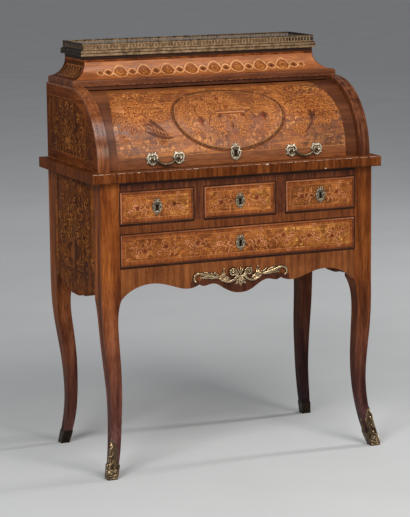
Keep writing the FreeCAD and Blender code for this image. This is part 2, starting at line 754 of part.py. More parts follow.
def gallery_base():
    """Four mitred lengths of brass moulding round the edge of the top panel."""
    block = moulded_block(gallery_half, gallery_front_y, gallery_back_y, panel_top_z, gallery_base_top_z,
                          gallery_base_shares, gallery_base_step, gallery_base_step, gallery_base_step)

    def corners(inset):
        half = gallery_half - inset
        y0 = gallery_front_y + inset
        y1 = gallery_back_y - inset
        return [V(x, y, panel_top_z) for x, y in ((-half, y0), (half, y0), (half, y1), (-half, y1))]
    outer = corners(0)
    inner = corners(gallery_base_width)
    lengths = []
    for i in range(4):
        j = (i + 1) % 4
        mitre = polygon_prism([outer[i], outer[j], inner[j], inner[i]], V(0, 0, gallery_base_height))
        lengths.append(block.common(mitre))
    return lengths


def pierced_strip(length):
    """One strip of the gallery along X from the origin: a row of slots under a wider bead."""
    t = gallery_rail_thickness
    bead_z = gallery_rail_height - gallery_bead_height
    spare = (gallery_bead_width - t) / 2
    web = box(0, length, spare, spare + t, 0, bead_z)
    bead = box(0, length, 0, gallery_bead_width, bead_z, gallery_rail_height)
    count = int((length - gallery_slot_pitch) / gallery_slot_pitch)
    first = (length - (count - 1) * gallery_slot_pitch - gallery_slot_width) / 2
    slots = []
    for i in range(count):
        x0 = first + i * gallery_slot_pitch
        slots.append(box(x0, x0 + gallery_slot_width, -overrun, gallery_bead_width + overrun,
                         gallery_slot_lift, gallery_slot_lift + gallery_slot_height))
    return web.cut(slots).fuse(bead).removeSplitter()


def gallery_rail():
    half = gallery_half - gallery_rail_inset
    y0 = gallery_front_y + gallery_rail_inset
    y1 = gallery_back_y - gallery_rail_inset
    strips = []
    for y in (y0, y1 - gallery_bead_width):
        strip = pierced_strip(2 * half)
        strip.translate(V(-half, y, gallery_base_top_z))
        strips.append(strip)
    for x in (-half + gallery_bead_width, half):
        strip = pierced_strip(y1 - y0 - 2 * gallery_bead_width)
        strip.rotate(V(0, 0, 0), Z_AXIS, quarter_turn)
        strip.translate(V(x, y0 + gallery_bead_width, gallery_base_top_z))
        strips.append(strip)
    return strips


# Nest of pigeonholes: floor with ears to the cheeks, ends, partitions, shelves, back and top
nest_half = quadrant_inner_x - nest_end_gap
nest_y0 = axis_y - nest_front_reach
nest_y1 = upper_back_y - nest_back_gap
nest_top_z = slab_top_z + nest_height
nest_floor_z = slab_top_z + nest_board
nest_shelf_z = nest_floor_z + nest_drawer_height
half_centre = nest_centre_width / 2


def nest_boards():
    ear_y = axis_y + nest_ear_setback
    right = [V(nest_half, nest_y0, slab_top_z), V(nest_half, ear_y, slab_top_z),
             V(cheek_inner_x, ear_y, slab_top_z), V(cheek_inner_x, upper_back_y, slab_top_z)]
    left = [V(-p.x, p.y, p.z) for p in reversed(right)]
    boards = [polygon_prism(right + left, V(0, 0, nest_board))]
    upright_top = nest_top_z - nest_board
    inner_y1 = nest_y1 - nest_back_board
    for side in (-1, 1):
        end_x = sorted((side * nest_half, side * (nest_half - nest_board)))
        wall_x = sorted((side * half_centre, side * (half_centre + nest_board)))
        shelf_x = sorted((side * (half_centre + nest_board), side * (nest_half - nest_board)))
        boards.append(box(*end_x, nest_y0, inner_y1, nest_floor_z, upright_top))
        boards.append(box(*wall_x, nest_y0, inner_y1, nest_floor_z, upright_top))
        boards.append(box(*shelf_x, nest_y0, inner_y1, nest_shelf_z, nest_shelf_z + nest_board))
    boards.append(box(-nest_half, nest_half, inner_y1, nest_y1, nest_floor_z, upright_top))
    boards.append(box(-nest_half, nest_half, nest_y0, nest_y1, upright_top, nest_top_z))
    return boards


def knob(centre):
    """Turned knob: a neck that flares to a rim with a chamfered face, standing out towards -Y."""
    outline = ((0, 0), (knob_neck_radius, 0), (knob_neck_radius, knob_neck_length),
               (knob_radius, knob_length - knob_rim), (knob_radius, knob_length - knob_chamfer),
               (knob_radius - knob_chamfer, knob_length), (0, knob_length))
    points = [centre + X_AXIS * radius - Y_AXIS * out for radius, out in outline]
    face = Part.Face(Part.makePolygon(points + points[:1]))
    return face.revolve(centre, Y_AXIS, 4 * quarter_turn)


def nest_drawer(side):
    """Small drawer with a turned knob, at one end of the nest."""
    x0 = half_centre + nest_board + nest_drawer_gap
    x1 = nest_half - nest_board - nest_drawer_gap
    y0 = nest_y0
    y1 = nest_y1 - nest_back_board - nest_drawer_gap
    z0 = nest_floor_z + runner_gap
    z1 = nest_shelf_z - nest_drawer_gap
    t = nest_drawer_board
    box_y0 = y0 + nest_drawer_front
    floor_top = z0 + nest_drawer_bottom
    boards = [
        box(x0, x1, y0, box_y0, z0, z1),
        box(x0, x0 + t, box_y0, y1, z0, z1 - t),
        box(x1 - t, x1, box_y0, y1, z0, z1 - t),
        box(x0 + t, x1 - t, y1 - t, y1, floor_top, z1 - t),
        box(x0 + t, x1 - t, box_y0, y1, z0, floor_top),
    ]
    boards.append(knob(V((x0 + x1) / 2, y0, (z0 + z1) / 2)))
    return boards if side > 0 else [mirrored(b) for b in boards]


def apron_mount():
    """Gilt mount on the apron: leafy outline, a pair of volutes and a shell between them."""
    middle_z = apron_top_z - apron_height / 2 - mount_lift
    y = front_y

    def points(shares, side):
        return [V(side * mount_half_width * a, y, middle_z + mount_half_height * h) for a, h in shares]
    edges = []
    for side in (-1, 1):
        edges.append(spline(points(mount_outline_shares, side)))
        edges.append(spline(points(mount_underside_shares, side)))
    body = prism(edges, V(0, -mount_thickness, 0))
    x_share, z_share = mount_volute_place_shares
    raised = []
    for side in (-1, 1):
        centre = V(side * mount_half_width * x_share, y - mount_thickness,
                   middle_z + mount_half_height * z_share)
        disc = Part.makeCylinder(mount_volute_radius, mount_relief, centre, -Y_AXIS)
        eye = Part.makeCylinder(mount_volute_radius - mount_volute_wire, mount_relief, centre, -Y_AXIS)
        raised.append(disc.cut(eye))
        raised.append(Part.makeCylinder(mount_volute_wire, mount_relief, centre, -Y_AXIS))
    raised.append(Part.makeCone(mount_shell_radius, mount_volute_radius, mount_relief,
                                V(0, y - mount_thickness, middle_z), -Y_AXIS))
    return body.fuse(raised).removeSplitter()


os.makedirs("parts", exist_ok=True)

strikes = {}
for name, place in drawer_places.items():
    front, boards, plate, lock_case, bolt, strike = drawer(*place)
    strikes[name] = strike
    save("drawer_front_" + name, front)
    save("drawer_box_" + name, *boards)
    save("escutcheon_" + name, plate)
    save("lock_case_" + name, lock_case)
    save("lock_bolt_" + name, bolt)
top_rail = top_rail.cut([strikes["left"], strikes["middle"], strikes["right"]])
mid_rail = mid_rail.cut(strikes["long"])

save("leg_front_right", front_leg)
save("leg_front_left", mirrored(front_leg))
save("leg_rear_right", rear_leg)
save("leg_rear_left", mirrored(rear_leg))
sabot = front_sabot()
save("sabots_front", sabot, mirrored(sabot))
sabot = rear_sabot()
save("sabots_rear", sabot, mirrored(sabot))
save("side_panel_right", side_panel)
save("side_panel_left", mirrored(side_panel))
save("lower_back", lower_back)
save("top_rail", top_rail)
save("mid_rail", mid_rail)
save("front_apron", front_apron)
save("drawer_dividers", *dividers)
save("drawer_runners", dust_board, runner, mirrored(runner), *guides)
save("apron_mount", apron_mount())

save("desk_top_right", end_board)
save("desk_top_left", mirrored(end_board))
save("desk_top_back", top_back_rail)
save("writing_slide", slide_board)
save("slide_leather", slide_leather)

right_cheek = cheek()
save("cheek_right", right_cheek)
save("cheek_left", mirrored(right_cheek))
save("upper_back", upper_back)
save("fascia", fascia)
save("pivot_pins", pin, mirrored(pin))
save("cylinder_shell", cylinder_shell)
right_quadrant = quadrant()
save("cylinder_quadrants", right_quadrant, mirrored(right_quadrant))
save("cylinder_lock_case", cylinder_lock_case)
save("cylinder_bolt", cylinder_bolt)
save("cylinder_escutcheon", cylinder_escutcheon)
save("handle_bosses", *bosses)
save("bail_left", bail(-handle_spread))
save("bail_right", bail(handle_spread))

save("plinth", plinth)
save("cove_frieze", cove)
save("top_panel", top_panel)
save("gallery", *gallery_base(), *gallery_rail())

save("pigeonhole_nest", *nest_boards())
save("nest_drawer_right", *nest_drawer(1))
save("nest_drawer_left", *nest_drawer(-1))
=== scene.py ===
import bmesh
import bpy
from math import asin, atan2, cos, degrees, pi, radians, sin
from mathutils import Matrix, Vector
from mathutils.bvhtree import BVHTree


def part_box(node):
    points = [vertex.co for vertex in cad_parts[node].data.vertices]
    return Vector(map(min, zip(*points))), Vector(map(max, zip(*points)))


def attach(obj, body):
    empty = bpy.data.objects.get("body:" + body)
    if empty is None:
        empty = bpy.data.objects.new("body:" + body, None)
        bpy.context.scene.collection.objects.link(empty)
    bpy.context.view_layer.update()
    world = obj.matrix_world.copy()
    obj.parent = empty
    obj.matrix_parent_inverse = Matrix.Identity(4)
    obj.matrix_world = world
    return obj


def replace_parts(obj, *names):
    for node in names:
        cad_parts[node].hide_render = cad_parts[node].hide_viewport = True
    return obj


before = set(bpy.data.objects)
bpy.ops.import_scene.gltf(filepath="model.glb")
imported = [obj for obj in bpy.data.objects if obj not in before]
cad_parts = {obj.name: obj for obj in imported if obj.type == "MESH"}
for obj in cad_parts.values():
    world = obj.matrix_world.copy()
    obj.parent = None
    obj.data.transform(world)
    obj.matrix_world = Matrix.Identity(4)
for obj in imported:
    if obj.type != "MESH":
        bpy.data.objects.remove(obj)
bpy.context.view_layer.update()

# Legs
# Four curved legs of solid hardwood, square at the post and swept below the knee, with a straight-grained
# red-brown veneer over their whole height. The old shellac is uneven, glossier where hands do not reach. The
# right legs are painted darker as painted shade, the rear one most, and each leg darkens towards the floor
# with a bluish painted reflection low down.


def join(tree, node, **sockets):
    """Sets up a shader node: an output handed in is linked to the socket, anything else is set on it."""
    for name, value in sockets.items():
        socket = name.replace("_", " ")
        if hasattr(node, name):
            setattr(node, name, value)
        elif isinstance(value, bpy.types.NodeSocket):
            tree.links.new(value, node.inputs[socket])
        else:
            node.inputs[socket].default_value = value
    return node.outputs


def shade(tree, kind, **sockets):
    """Adds one shader node and sets it up."""
    return join(tree, tree.nodes.new("ShaderNode" + kind), **sockets)


def surface(tree, **sockets):
    """Sets up the surface that a finish ends in."""
    join(tree, tree.nodes["Principled BSDF"], **sockets)


def new_finish(name):
    """An empty finish, its nodes, and the place on the piece where its textures are drawn."""
    finish = bpy.data.materials.new(name)
    finish.use_nodes = True
    return finish, finish.node_tree, shade(finish.node_tree, "TexCoord")["Object"]


def tones(tree, by, *stops):
    """Colours spread along a value, each stop a place from 0 to 1 and a colour."""
    node = tree.nodes.new("ShaderNodeValToRGB")
    tree.links.new(by, node.inputs[0])
    spread = node.color_ramp.elements
    for element, (place, colour) in zip(spread, (stops[0], stops[-1])):
        element.position = place
        element.color = (*colour, 1)
    for place, colour in stops[1:-1]:
        spread.new(place).color = (*colour, 1)
    return node.outputs[0]


def glaze(tree, colour, film, amount):
    """A darker film over a colour."""
    return shade(tree, "MixRGB", blend_type="MULTIPLY", Fac=amount, Color1=colour, Color2=film)["Color"]


clear = (1, 1, 1)


def polished_wood(name, deep, heart, light, fibres, figure=30, stripe=14, pores=0.6, gloss=0.36, dull=0.56,
                  coat=0.06, shine=0.12, foliage=None, floor_film=None):
    """Veneer under old polish. fibres is the axis they run along; figure and stripe say how fine the grain
    is. foliage gives a ground of close-cut leaves: pale, dark, leaves to the metre, share. floor_film is a
    height and a film that tints the wood below it, fading out upwards; on the legs it darkens them towards
    the floor and lifts the blue as a painted reflection of the floor."""
    wood, tree, spot = new_finish(name)
    stretch = [0.07 if axis == fibres else 1.0 for axis in "XYZ"]
    drawn = shade(tree, "Mapping", Vector=spot, Scale=stretch)["Vector"]
    broad = shade(tree, "TexNoise", Vector=drawn, Scale=figure, Detail=5, Roughness=0.62,
                  Distortion=0.4)["Fac"]
    narrow = shade(tree, "TexNoise", Vector=drawn, Scale=figure * stripe, Detail=3, Roughness=0.7)["Fac"]
    cloud = shade(tree, "TexNoise", Vector=spot, Scale=11, Detail=3, Roughness=0.6)["Fac"]
    colour = tones(tree, broad, (0.36, deep), (0.5, heart), (0.64, light))
    if foliage:
        pale, dark, fine, share = foliage
        drift = shade(tree, "TexNoise", Vector=spot, Scale=fine * 0.45, Detail=2)["Color"]
        curled = shade(tree, "MixRGB", blend_type="ADD", Fac=1.5 / fine, Color1=spot, Color2=drift)["Color"]
        leaves = shade(tree, "TexVoronoi", Vector=curled, Scale=fine)["Color"]
        joints = shade(tree, "TexVoronoi", feature="DISTANCE_TO_EDGE", Vector=curled, Scale=fine)["Distance"]
        cut = tones(tree, leaves, (0.3, dark), (0.42, heart), (0.55, heart), (0.68, pale))
        cut = glaze(tree, cut, tones(tree, joints, (0.02, (0.3, 0.26, 0.24)), (0.1, clear)), 1.0)
        spread = shade(tree, "TexNoise", Vector=spot, Scale=24, Detail=3)["Fac"]
        amount = tones(tree, spread, (0.4, (0.15, 0.15, 0.15)), (0.58, (share, share, share)))
        colour = shade(tree, "MixRGB", Fac=amount, Color1=colour, Color2=cut)["Color"]
    colour = glaze(tree, colour, tones(tree, narrow, (0.4, (0.36, 0.3, 0.28)), (0.55, clear)), pores)
    colour = glaze(tree, colour, tones(tree, cloud, (0.34, (0.58, 0.5, 0.46)), (0.6, clear)), 0.7)
    # Darker towards the floor; the legs' films also lift the blue there as a painted reflection of the floor.
    if floor_film:
        height = shade(tree, "SeparateXYZ", Vector=spot)["Z"]
        rise = shade(tree, "MapRange", Value=height, From_Min=0.0, From_Max=floor_film[0])["Result"]
        colour = glaze(tree, colour, tones(tree, rise, (0.0, floor_film[1]), (1.0, clear)), 1.0)
    worn = shade(tree, "MapRange", Value=cloud, From_Min=0.3, From_Max=0.7, To_Min=gloss,
                 To_Max=dull)["Result"]
    skin = shade(tree, "Bump", Strength=0.14, Distance=0.0005, Height=narrow)["Normal"]
    surface(tree, Base_Color=colour, Roughness=worn, Normal=skin, Coat_Weight=coat, Coat_Roughness=0.25,
            Specular_IOR_Level=shine)
    return wood


def dress(finish, *names):
    """Gives CAD nodes their finish."""
    for name in names:
        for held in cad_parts[name].material_slots:
            held.material = finish


# Painted shade: the right legs take darker tones, the rear right darkest. The film darkens each leg towards
# the floor and lifts its blue as a painted reflection of the floor.
leg_tones = ((0.125, 0.03, 0.0075), (0.27, 0.073, 0.014), (0.41, 0.125, 0.027))
for place, painted_shade_scale, film in (("front_left", 0.97, (0.43, 0.74, 4.0)), ("rear_left", 0.95, (0.36, 0.58, 2.8)),
                           ("front_right", 0.74, (0.2, 0.38, 2.7)), ("rear_right", 0.48, (0.26, 0.5, 3.6))):
    deep, heart, light = ([painted_shade_scale * c for c in tone] for tone in leg_tones)
    veneer = polished_wood("leg_veneer_" + place, deep, heart, light, "Z", figure=46, stripe=9, shine=0.08,
                           coat=0, floor_film=(0.5, film))
    dress(veneer, "leg_" + place)

# Sabots
# Front shoes of cast bronze, gilded long ago and gone dark but for bright lines on the high places: a cup
# round the toe and a leaf up the outer corner, pinned to the leg. The rear shoes are plain bronze cups.


def cast_metal(name, bright, worn, hollow_tone, gloss=0.26, dull=0.5, dirty=(0.18, 0.62)):
    """Cast metal: bright on the high places, dull on the flats and dark where the chasing is hollow."""
    metal, tree, spot = new_finish(name)
    cloud = shade(tree, "TexNoise", Vector=spot, Scale=90, Detail=6, Roughness=0.65)["Fac"]
    grit = shade(tree, "TexNoise", Vector=spot, Scale=900, Detail=3, Roughness=0.6)["Fac"]
    chased = shade(tree, "Attribute", attribute_name="hollow")["Fac"]
    colour = tones(tree, cloud, (0.36, worn), (0.6, bright))
    dirt = shade(tree, "MixRGB", blend_type="LINEAR_LIGHT", Fac=0.25, Color1=chased, Color2=cloud)["Color"]
    grime = tones(tree, dirt, (dirty[0], (0, 0, 0)), (dirty[1], clear))
    colour = shade(tree, "MixRGB", Fac=grime, Color1=colour, Color2=(*hollow_tone, 1))["Color"]
    rub = shade(tree, "MapRange", Value=cloud, From_Min=0.3, From_Max=0.7, To_Min=dull,
                To_Max=gloss)["Result"]
    skin = shade(tree, "Bump", Strength=0.2, Distance=0.0004, Height=grit)["Normal"]
    surface(tree, Metallic=1.0, Base_Color=colour, Roughness=rub, Normal=skin)
    return metal


def fit_piece(name, shape, body, slot, *finishes):
    """Makes a piece from a built mesh, gives it its finishes and sets it on its body."""
    mesh = bpy.data.meshes.new(name)
    shape.to_mesh(mesh)
    shape.free()
    for finish in finishes:
        mesh.materials.append(finish)
    piece = bpy.data.objects.new(name, mesh)
    bpy.context.scene.collection.objects.link(piece)
    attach(piece, body)
    return piece


def through(points, steps):
    """A smooth line through drawn points."""
    points = [Vector(p) for p in points]
    ends = [2 * points[0] - points[1]] + points + [2 * points[-1] - points[-2]]
    line = []
    for a, b, c, d in zip(ends, ends[1:], ends[2:], ends[3:]):
        for i in range(steps):
            t = i / steps
            bend = 2 * a - 5 * b + 4 * c - d
            line.append(0.5 * (2 * b + (c - a) * t + bend * t ** 2 + (3 * b - a - 3 * c + d) * t ** 3))
    line.append(points[-1])
    return line


def coil(centre, start, end, angle, turn, steps):
    """Points of a spiral about a centre, from one radius to another."""
    line = []
    for i in range(steps + 1):
        t = i / steps
        a = radians(angle + turn * t)
        radius = start + (end - start) * t ** 0.8
        line.append(Vector((centre[0] + radius * cos(a), centre[1] + radius * sin(a))))
    return line


def across(line):
    """The square direction to the left of a line at each of its points."""
    sides = []
    for i in range(len(line)):
        run = line[min(i + 1, len(line) - 1)] - line[max(i - 1, 0)]
        run = run.normalized() if run.length > 1e-9 else Vector((1, 0))
        sides.append(Vector((-run.y, run.x)))
    return sides


class Casting:
    """Relief cast in metal: leaves, scrolls and beads on a ground. lay gives the place of a point."""

    scroll_shape = ((-1, 0, 1), (-0.86, 0.62, 0.35), (-0.5, 1, 0), (0, 0.66, 0.55),
                    (0.5, 1, 0), (0.86, 0.62, 0.35), (1, 0, 1))
    leaf_shape = ((-1, 0, 0.9), (-0.8, 0.5, 0.1), (-0.5, 0.75, 0), (-0.2, 0.42, 0.75), (0, 0.95, 0),
                  (0.2, 0.42, 0.75), (0.5, 0.75, 0), (0.8, 0.5, 0.1), (1, 0, 0.9))

    def __init__(self, name, lay):
        self.name, self.lay, self.shape = name, lay, bmesh.new()
        self.hollow = self.shape.verts.layers.float.new("hollow")

    def skin(self, rows):
        """Faces over rows of points, each a place on the ground, a rise and how hollow it is."""
        grid = []
        for row in rows:
            grid.append([self.shape.verts.new(self.lay(u, v, rise)) for u, v, rise, hollow in row])
            for vert, point in zip(grid[-1], row):
                vert[self.hollow] = point[3]
        for a, b in zip(grid, grid[1:]):
            for i in range(len(a) - 1):
                self.shape.faces.new((a[i], a[i + 1], b[i + 1], b[i]))

    def scroll(self, line, width, rise, tip, foot=0.0):
        """A grooved scroll that narrows from its root to tip times its width."""
        rows = []
        last = len(line) - 1
        for i, (point, side) in enumerate(zip(line, across(line))):
            t = i / last
            size = 1 + (tip - 1) * t
            if i in (0, last):
                size *= 0.55
            rows.append([(*(point + side * (c * width / 2 * size)), foot + rise * size * h, hollow)
                         for c, h, hollow in self.scroll_shape])
        self.skin(rows)

    def leaf(self, line, width, rise, lobes=2, foot=0.0):
        """An acanthus leaf along a line: a rib, hollows beside it, and lobes that notch its edge."""
        rows = []
        last = len(line) - 1
        for i, (point, side) in enumerate(zip(line, across(line))):
            t = i / last
            full = sin(pi * (0.06 + 0.94 * t) ** 0.7) ** 0.8 if t < 1 else 0
            notch = 0.66 + 0.34 * abs(sin(pi * lobes * t))
            row = []
            for c, h, hollow in self.leaf_shape:
                out = c * (notch if abs(c) > 0.7 else 0.5 + 0.5 * notch)
                ridge = 0.8 + 0.2 * cos(2 * pi * lobes * t - 2.4 * abs(c))
                height = foot + rise * h * ridge * (0.35 + 0.65 * full)
                row.append((*(point + side * (out * width / 2 * full)), height, hollow))
            rows.append(row)
        self.skin(rows)

    def bead(self, u, v, across_u, across_v, rise, foot=0.0, dark=0.8):
        """A domed boss, oval or round."""
        rows = []
        for k in range(6):
            a = k / 5 * pi / 2
            ring = []
            for i in range(17):
                b = i / 16 * 2 * pi
                ring.append((u + across_u / 2 * cos(a) * cos(b), v + across_v / 2 * cos(a) * sin(b),
                             foot + rise * sin(a), dark if k == 0 else 0))
            rows.append(ring)
        self.skin(rows)

    def fix(self, body, slot, finish):
        """Closes the casting and pins it to its body."""
        bmesh.ops.remove_doubles(self.shape, verts=self.shape.verts, dist=1e-6)
        bmesh.ops.recalc_face_normals(self.shape, faces=self.shape.faces)
        for face in self.shape.faces:
            face.smooth = True
        return fit_piece(self.name, self.shape, body, slot, finish)


gilt = cast_metal("gilt_bronze", (1.0, 0.79, 0.51), (0.6, 0.38, 0.18), (0.02, 0.01, 0.005), gloss=0.17,
                  dull=0.32, dirty=(0.12, 0.52))
tarnished = cast_metal("gilt_bronze_tarnished", (0.16, 0.108, 0.066), (0.06, 0.04, 0.025),
                       (0.012, 0.008, 0.005), gloss=0.4, dull=0.6)
# Dark bronze for the rear shoes; the same finish paints the shadow under the apron mount.
dark_bronze = cast_metal("dark_bronze", (0.045, 0.03, 0.02), (0.02, 0.014, 0.01), (0.006, 0.005, 0.004))
dress(tarnished, "sabots_front")
dress(dark_bronze, "sabots_rear")
mm = 0.001
ankle_radius, clear_of_leg = 18, 200


def ankle(leg, height):
    """The middle of a leg at a height, from the edges of its mesh that cross that level."""
    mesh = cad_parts[leg].data
    cut = []
    for edge in mesh.edges:
        a, b = (mesh.vertices[i].co for i in edge.vertices)
        if (a.z - height) * (b.z - height) < 0:
            cut.append(a.lerp(b, (height - a.z) / (b.z - a.z)))
    return Vector([(min(p[k] for p in cut) + max(p[k] for p in cut)) / 2 for k in (0, 1)] + [height])


def skin_of(*names):
    """The surface of some CAD nodes, to press a drawing down on."""
    points, faces = [], []
    for name in names:
        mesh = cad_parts[name].data
        faces += [[i + len(points) for i in p.vertices] for p in mesh.polygons]
        points += [v.co.copy() for v in mesh.vertices]
    return BVHTree.FromPolygons(points, faces)


def wrapped(leg, outward):
    """Lays a drawing round a leg: u is a length round it from the outward corner and v a height."""
    skin = skin_of(leg, "sabots_front")

    def lay(u, v, rise):
        heart = ankle(leg, v * mm)
        turn = radians(outward) + u / ankle_radius
        way = Vector((cos(turn), sin(turn), 0))
        return skin.ray_cast(heart + way * (clear_of_leg * mm), -way)[0] + way * (rise * mm)
    return lay


def handed(side, points):
    """A drawing's points, or their mirror image where side is -1."""
    return [Vector((side * p[0], p[1])) for p in points]


for side, outward in (("left", 225), ("right", 315)):
    on_leg = wrapped("leg_front_" + side, outward)
    shoe = Casting("sabot_leaf_" + side, on_leg)
    shoe.leaf(through([(0, 20), (0, 45), (0, 70), (0, 102)], 10), 13, 2.6, lobes=6)
    for hand in (-1, 1):
        shoe.leaf(through(handed(hand, [(11, 20), (14, 36), (16, 52), (13, 68)]), 6), 7, 2, lobes=4)
        for at, top in ((7, 58), (21, 52)):
            shoe.leaf(through(handed(hand, [(at, 22), (at + 1, 38), (at, top)]), 6), 8, 2.6, lobes=3)
    shoe.fix("case", "gilt_bronze", tarnished)
    veins = Casting("sabot_veins_" + side, on_leg)
    veins.scroll(through([(0, 22), (1, 42), (-1, 60), (1, 80), (0, 101)], 8), 3, 3.8, tip=0.6)
    for k in range(7):
        foot, wide = 28 + 9.5 * k, 8.5 - 0.9 * k
        curl = [(0, foot), (wide * 0.6, foot + 2), (wide, foot + 7), (wide * 0.7, foot + 10)]
        veins.scroll(through(handed(1 if k % 2 else -1, curl), 4), 3.4, 4, tip=0.6)
    for hand in (-1, 1):
        veins.scroll(coil((hand * 6, 19), 1.6, 6.2, 90, hand * 500, 26), 2.5, 3.6, tip=1.2)
        veins.scroll(through(handed(hand, [(4, 12), (14, 10), (24, 13)]), 6), 2.6, 2.4, tip=0.8)
        veins.scroll(coil((hand * 16, 21), 1.2, 4.6, 60, -hand * 420, 22), 2.2, 3, tip=1.1)
        veins.scroll(through(handed(hand, [(2, 5), (14, 4.4), (27, 5)]), 6), 2.4, 2, tip=1)
        veins.scroll(through(handed(hand, [(12, 24), (15, 40), (16, 54), (13, 68)]), 5), 1.6, 2.6, tip=0.5)
    veins.fix("case", "gilt_bronze", gilt)

# Side panels
# Solid boards let in between the posts, cut to lobes along the lower edge and veneered: a dark field of
# flowers from a vase in shaded woods, between lighter upright bands. The veneers are sawn and glued down.


def wobble(k):
    """A repeatable number from 0 to 1, to keep cut leaves from looking alike."""
    return sin(k * 12.9898 + 4.1) * 43758.5453 % 1


class Marquetry:
    """Veneers cut to a drawing and let into a ground. u runs along the ground and v up it, in mm. A layer
    stands one step above the last, and each piece a few hairs off its neighbours so that no two share a
    plane. Long lines are cut at a pace that lets them bend."""

    step, hair, pace = 0.1, 0.004, 8

    def __init__(self, name, lay):
        self.name, self.lay, self.shape, self.woods, self.laid = name, lay, bmesh.new(), [], 0

    def strip(self, wood, left, right, layer):
        """A ribbon of veneer between two edges."""
        if wood not in self.woods:
            self.woods.append(wood)
        self.laid += 1
        rise = layer * self.step + self.laid * 7 % 25 * self.hair
        rows = [[self.shape.verts.new(self.lay(u, v, rise)) for u, v in edge] for edge in (left, right)]
        for i in range(len(left) - 1):
            face = self.shape.faces.new((rows[1][i], rows[1][i + 1], rows[0][i + 1], rows[0][i]))
            face.material_index = self.woods.index(wood)

    def stem(self, wood, line, width, tip=0.4, layer=4):
        """A stalk that narrows to its tip."""
        sides = across(line)
        half = [width / 2 * (1 + (tip - 1) * i / (len(line) - 1)) for i in range(len(line))]
        self.strip(wood, [p + s * h for p, s, h in zip(line, sides, half)],
                   [p - s * h for p, s, h in zip(line, sides, half)], layer)

    def leaf(self, root, heading, length, width, pale, dark, bend=0, layer=5, steps=6):
        """A pointed leaf in two halves, one shaded darker with hot sand."""
        spine, left, right = [Vector(root)], [Vector(root)], [Vector(root)]
        for i in range(1, steps + 1):
            t = i / steps
            a = radians(heading + bend * (t - 0.5))
            spine.append(spine[-1] + Vector((cos(a), sin(a))) * (length / steps))
            half = Vector((-sin(a), cos(a))) * (width / 2 * sin(pi * t ** 0.8))
            left.append(spine[-1] + half)
            right.append(spine[-1] - half)
        self.strip(pale, left, spine, layer)
        self.strip(dark, spine, right, layer)

    def disc(self, wood, centre, radius, layer=7, tall=1.0, up=1):
        """A round or oval piece."""
        centre = Vector(centre)
        half = [Vector((radius * cos(a), radius * tall * sin(a))) for a in (pi * i / 8 for i in range(9))]
        self.patch(wood, [centre + Vector((p.x, -p.y)) for p in half], [centre + p for p in half], layer, up)

    def flower(self, centre, radius, petals, pale, dark, heart, turn=0, layer=6):
        """A flower of shaded petals about a dark heart."""
        for i in range(petals):
            self.leaf(centre, turn + 360 / petals * i, radius, radius * 5 / petals, pale, dark, layer=layer,
                      steps=4)
        self.disc(heart, centre, radius * 0.26, layer=layer + 1)

    def ring(self, wood, centre, reach, width, layer=3, steps=72):
        """An oval or round band."""
        edges = []
        for grow in (0, -width):
            edges.append([(centre[0] + (reach[0] + grow) * cos(a), centre[1] + (reach[1] + grow) * sin(a))
                          for a in (radians(360 * i / steps) for i in range(steps + 1))])
        self.strip(wood, edges[1], edges[0], layer)

    def ground(self, wood, u0, v0, u1, v1, layer=1, along=2, up=2):
        """A sheet of veneer."""
        for i in range(up):
            a, b = (v0 + (v1 - v0) * k / up for k in (i, i + 1))
            us = [u0 + (u1 - u0) * k / along for k in range(along + 1)]
            self.strip(wood, [(u, b) for u in us], [(u, a) for u in us], layer)

    def patch(self, wood, lower, upper, layer=3, up=24):
        """A sheet between two drawn edges, cut narrow enough to bend."""
        for k in range(up):
            a, b = ([Vector(p).lerp(Vector(q), j / up) for p, q in zip(lower, upper)] for j in (k, k + 1))
            self.strip(wood, b, a, layer)

    def string(self, wood, turns, width, layer=3, closed=True):
        """A thin line of veneer with mitred corners, cut short enough to bend."""
        turns = [Vector(t) for t in turns]
        count = len(turns)
        for i in range(count if closed else count - 1):
            a, b = turns[i], turns[(i + 1) % count]
            run = (b - a).normalized()
            side = Vector((-run.y, run.x)) * width / 2
            pieces = max(1, round((b - a).length / self.pace))
            cut = run * width / 2
            line = [(a - cut).lerp(b + cut, k / pieces) for k in range(pieces + 1)]
            self.strip(wood, [p + side for p in line], [p - side for p in line], layer)

    def band(self, level, upright, u0, v0, u1, v1, width):
        """A mitred border, with the grain across each side of it."""
        def run(edge, i, j):
            return [Vector(edge[i]).lerp(Vector(edge[j]), t) for t in (0, 0.5, 1)]
        outer, inner = ([(u0 + w, v0 + w), (u1 - w, v0 + w), (u1 - w, v1 - w), (u0 + w, v1 - w)]
                        for w in (0, width))
        for wood, left, right, i, j in ((upright, inner, outer, 0, 1), (upright, outer, inner, 3, 2),
                                        (level, outer, inner, 0, 3), (level, inner, outer, 1, 2)):
            self.strip(wood, run(left, i, j), run(right, i, j), 2)

    def spray(self, root, heading, length, bend, woods, leaves, size, bloom, seed):
        """A curving stalk with leaves on alternate sides and a flower at its tip."""
        pale, dark, stalk, heart = woods
        line, a, steps = [Vector(root)], radians(heading), 14
        for i in range(steps):
            line.append(line[-1] + Vector((cos(a), sin(a))) * (length / steps))
            a += radians(bend) / steps
        self.stem(stalk, line, 1.2)
        for i in range(leaves):
            at = 2 + round((steps - 3) * i / max(1, leaves - 1))
            run = line[at] - line[at - 1]
            side = 1 if i % 2 else -1
            lean = degrees(atan2(run.y, run.x)) + side * (38 + 26 * wobble(seed + i))
            fresh = size * (0.9 + 0.6 * wobble(seed + 3 * i)) * (1 - 0.35 * i / leaves)
            self.leaf(line[at], lean, fresh, fresh * 0.32, pale, dark, bend=side * 50)
        self.flower(line[-1], bloom, 5 + int(2 * wobble(seed)), pale, dark, heart, turn=60 * wobble(seed + 9))

    def fan(self, root, stalks, droop, woods, seeds, **spray):
        """Sprays from one root, each stalk a heading, a length and the size of its flower."""
        first, pace = seeds
        for i, (heading, length, bloom) in enumerate(stalks):
            self.spray(root, heading, length, (heading - 90) * droop, woods, bloom=bloom,
                       seed=first + pace * i, **spray)

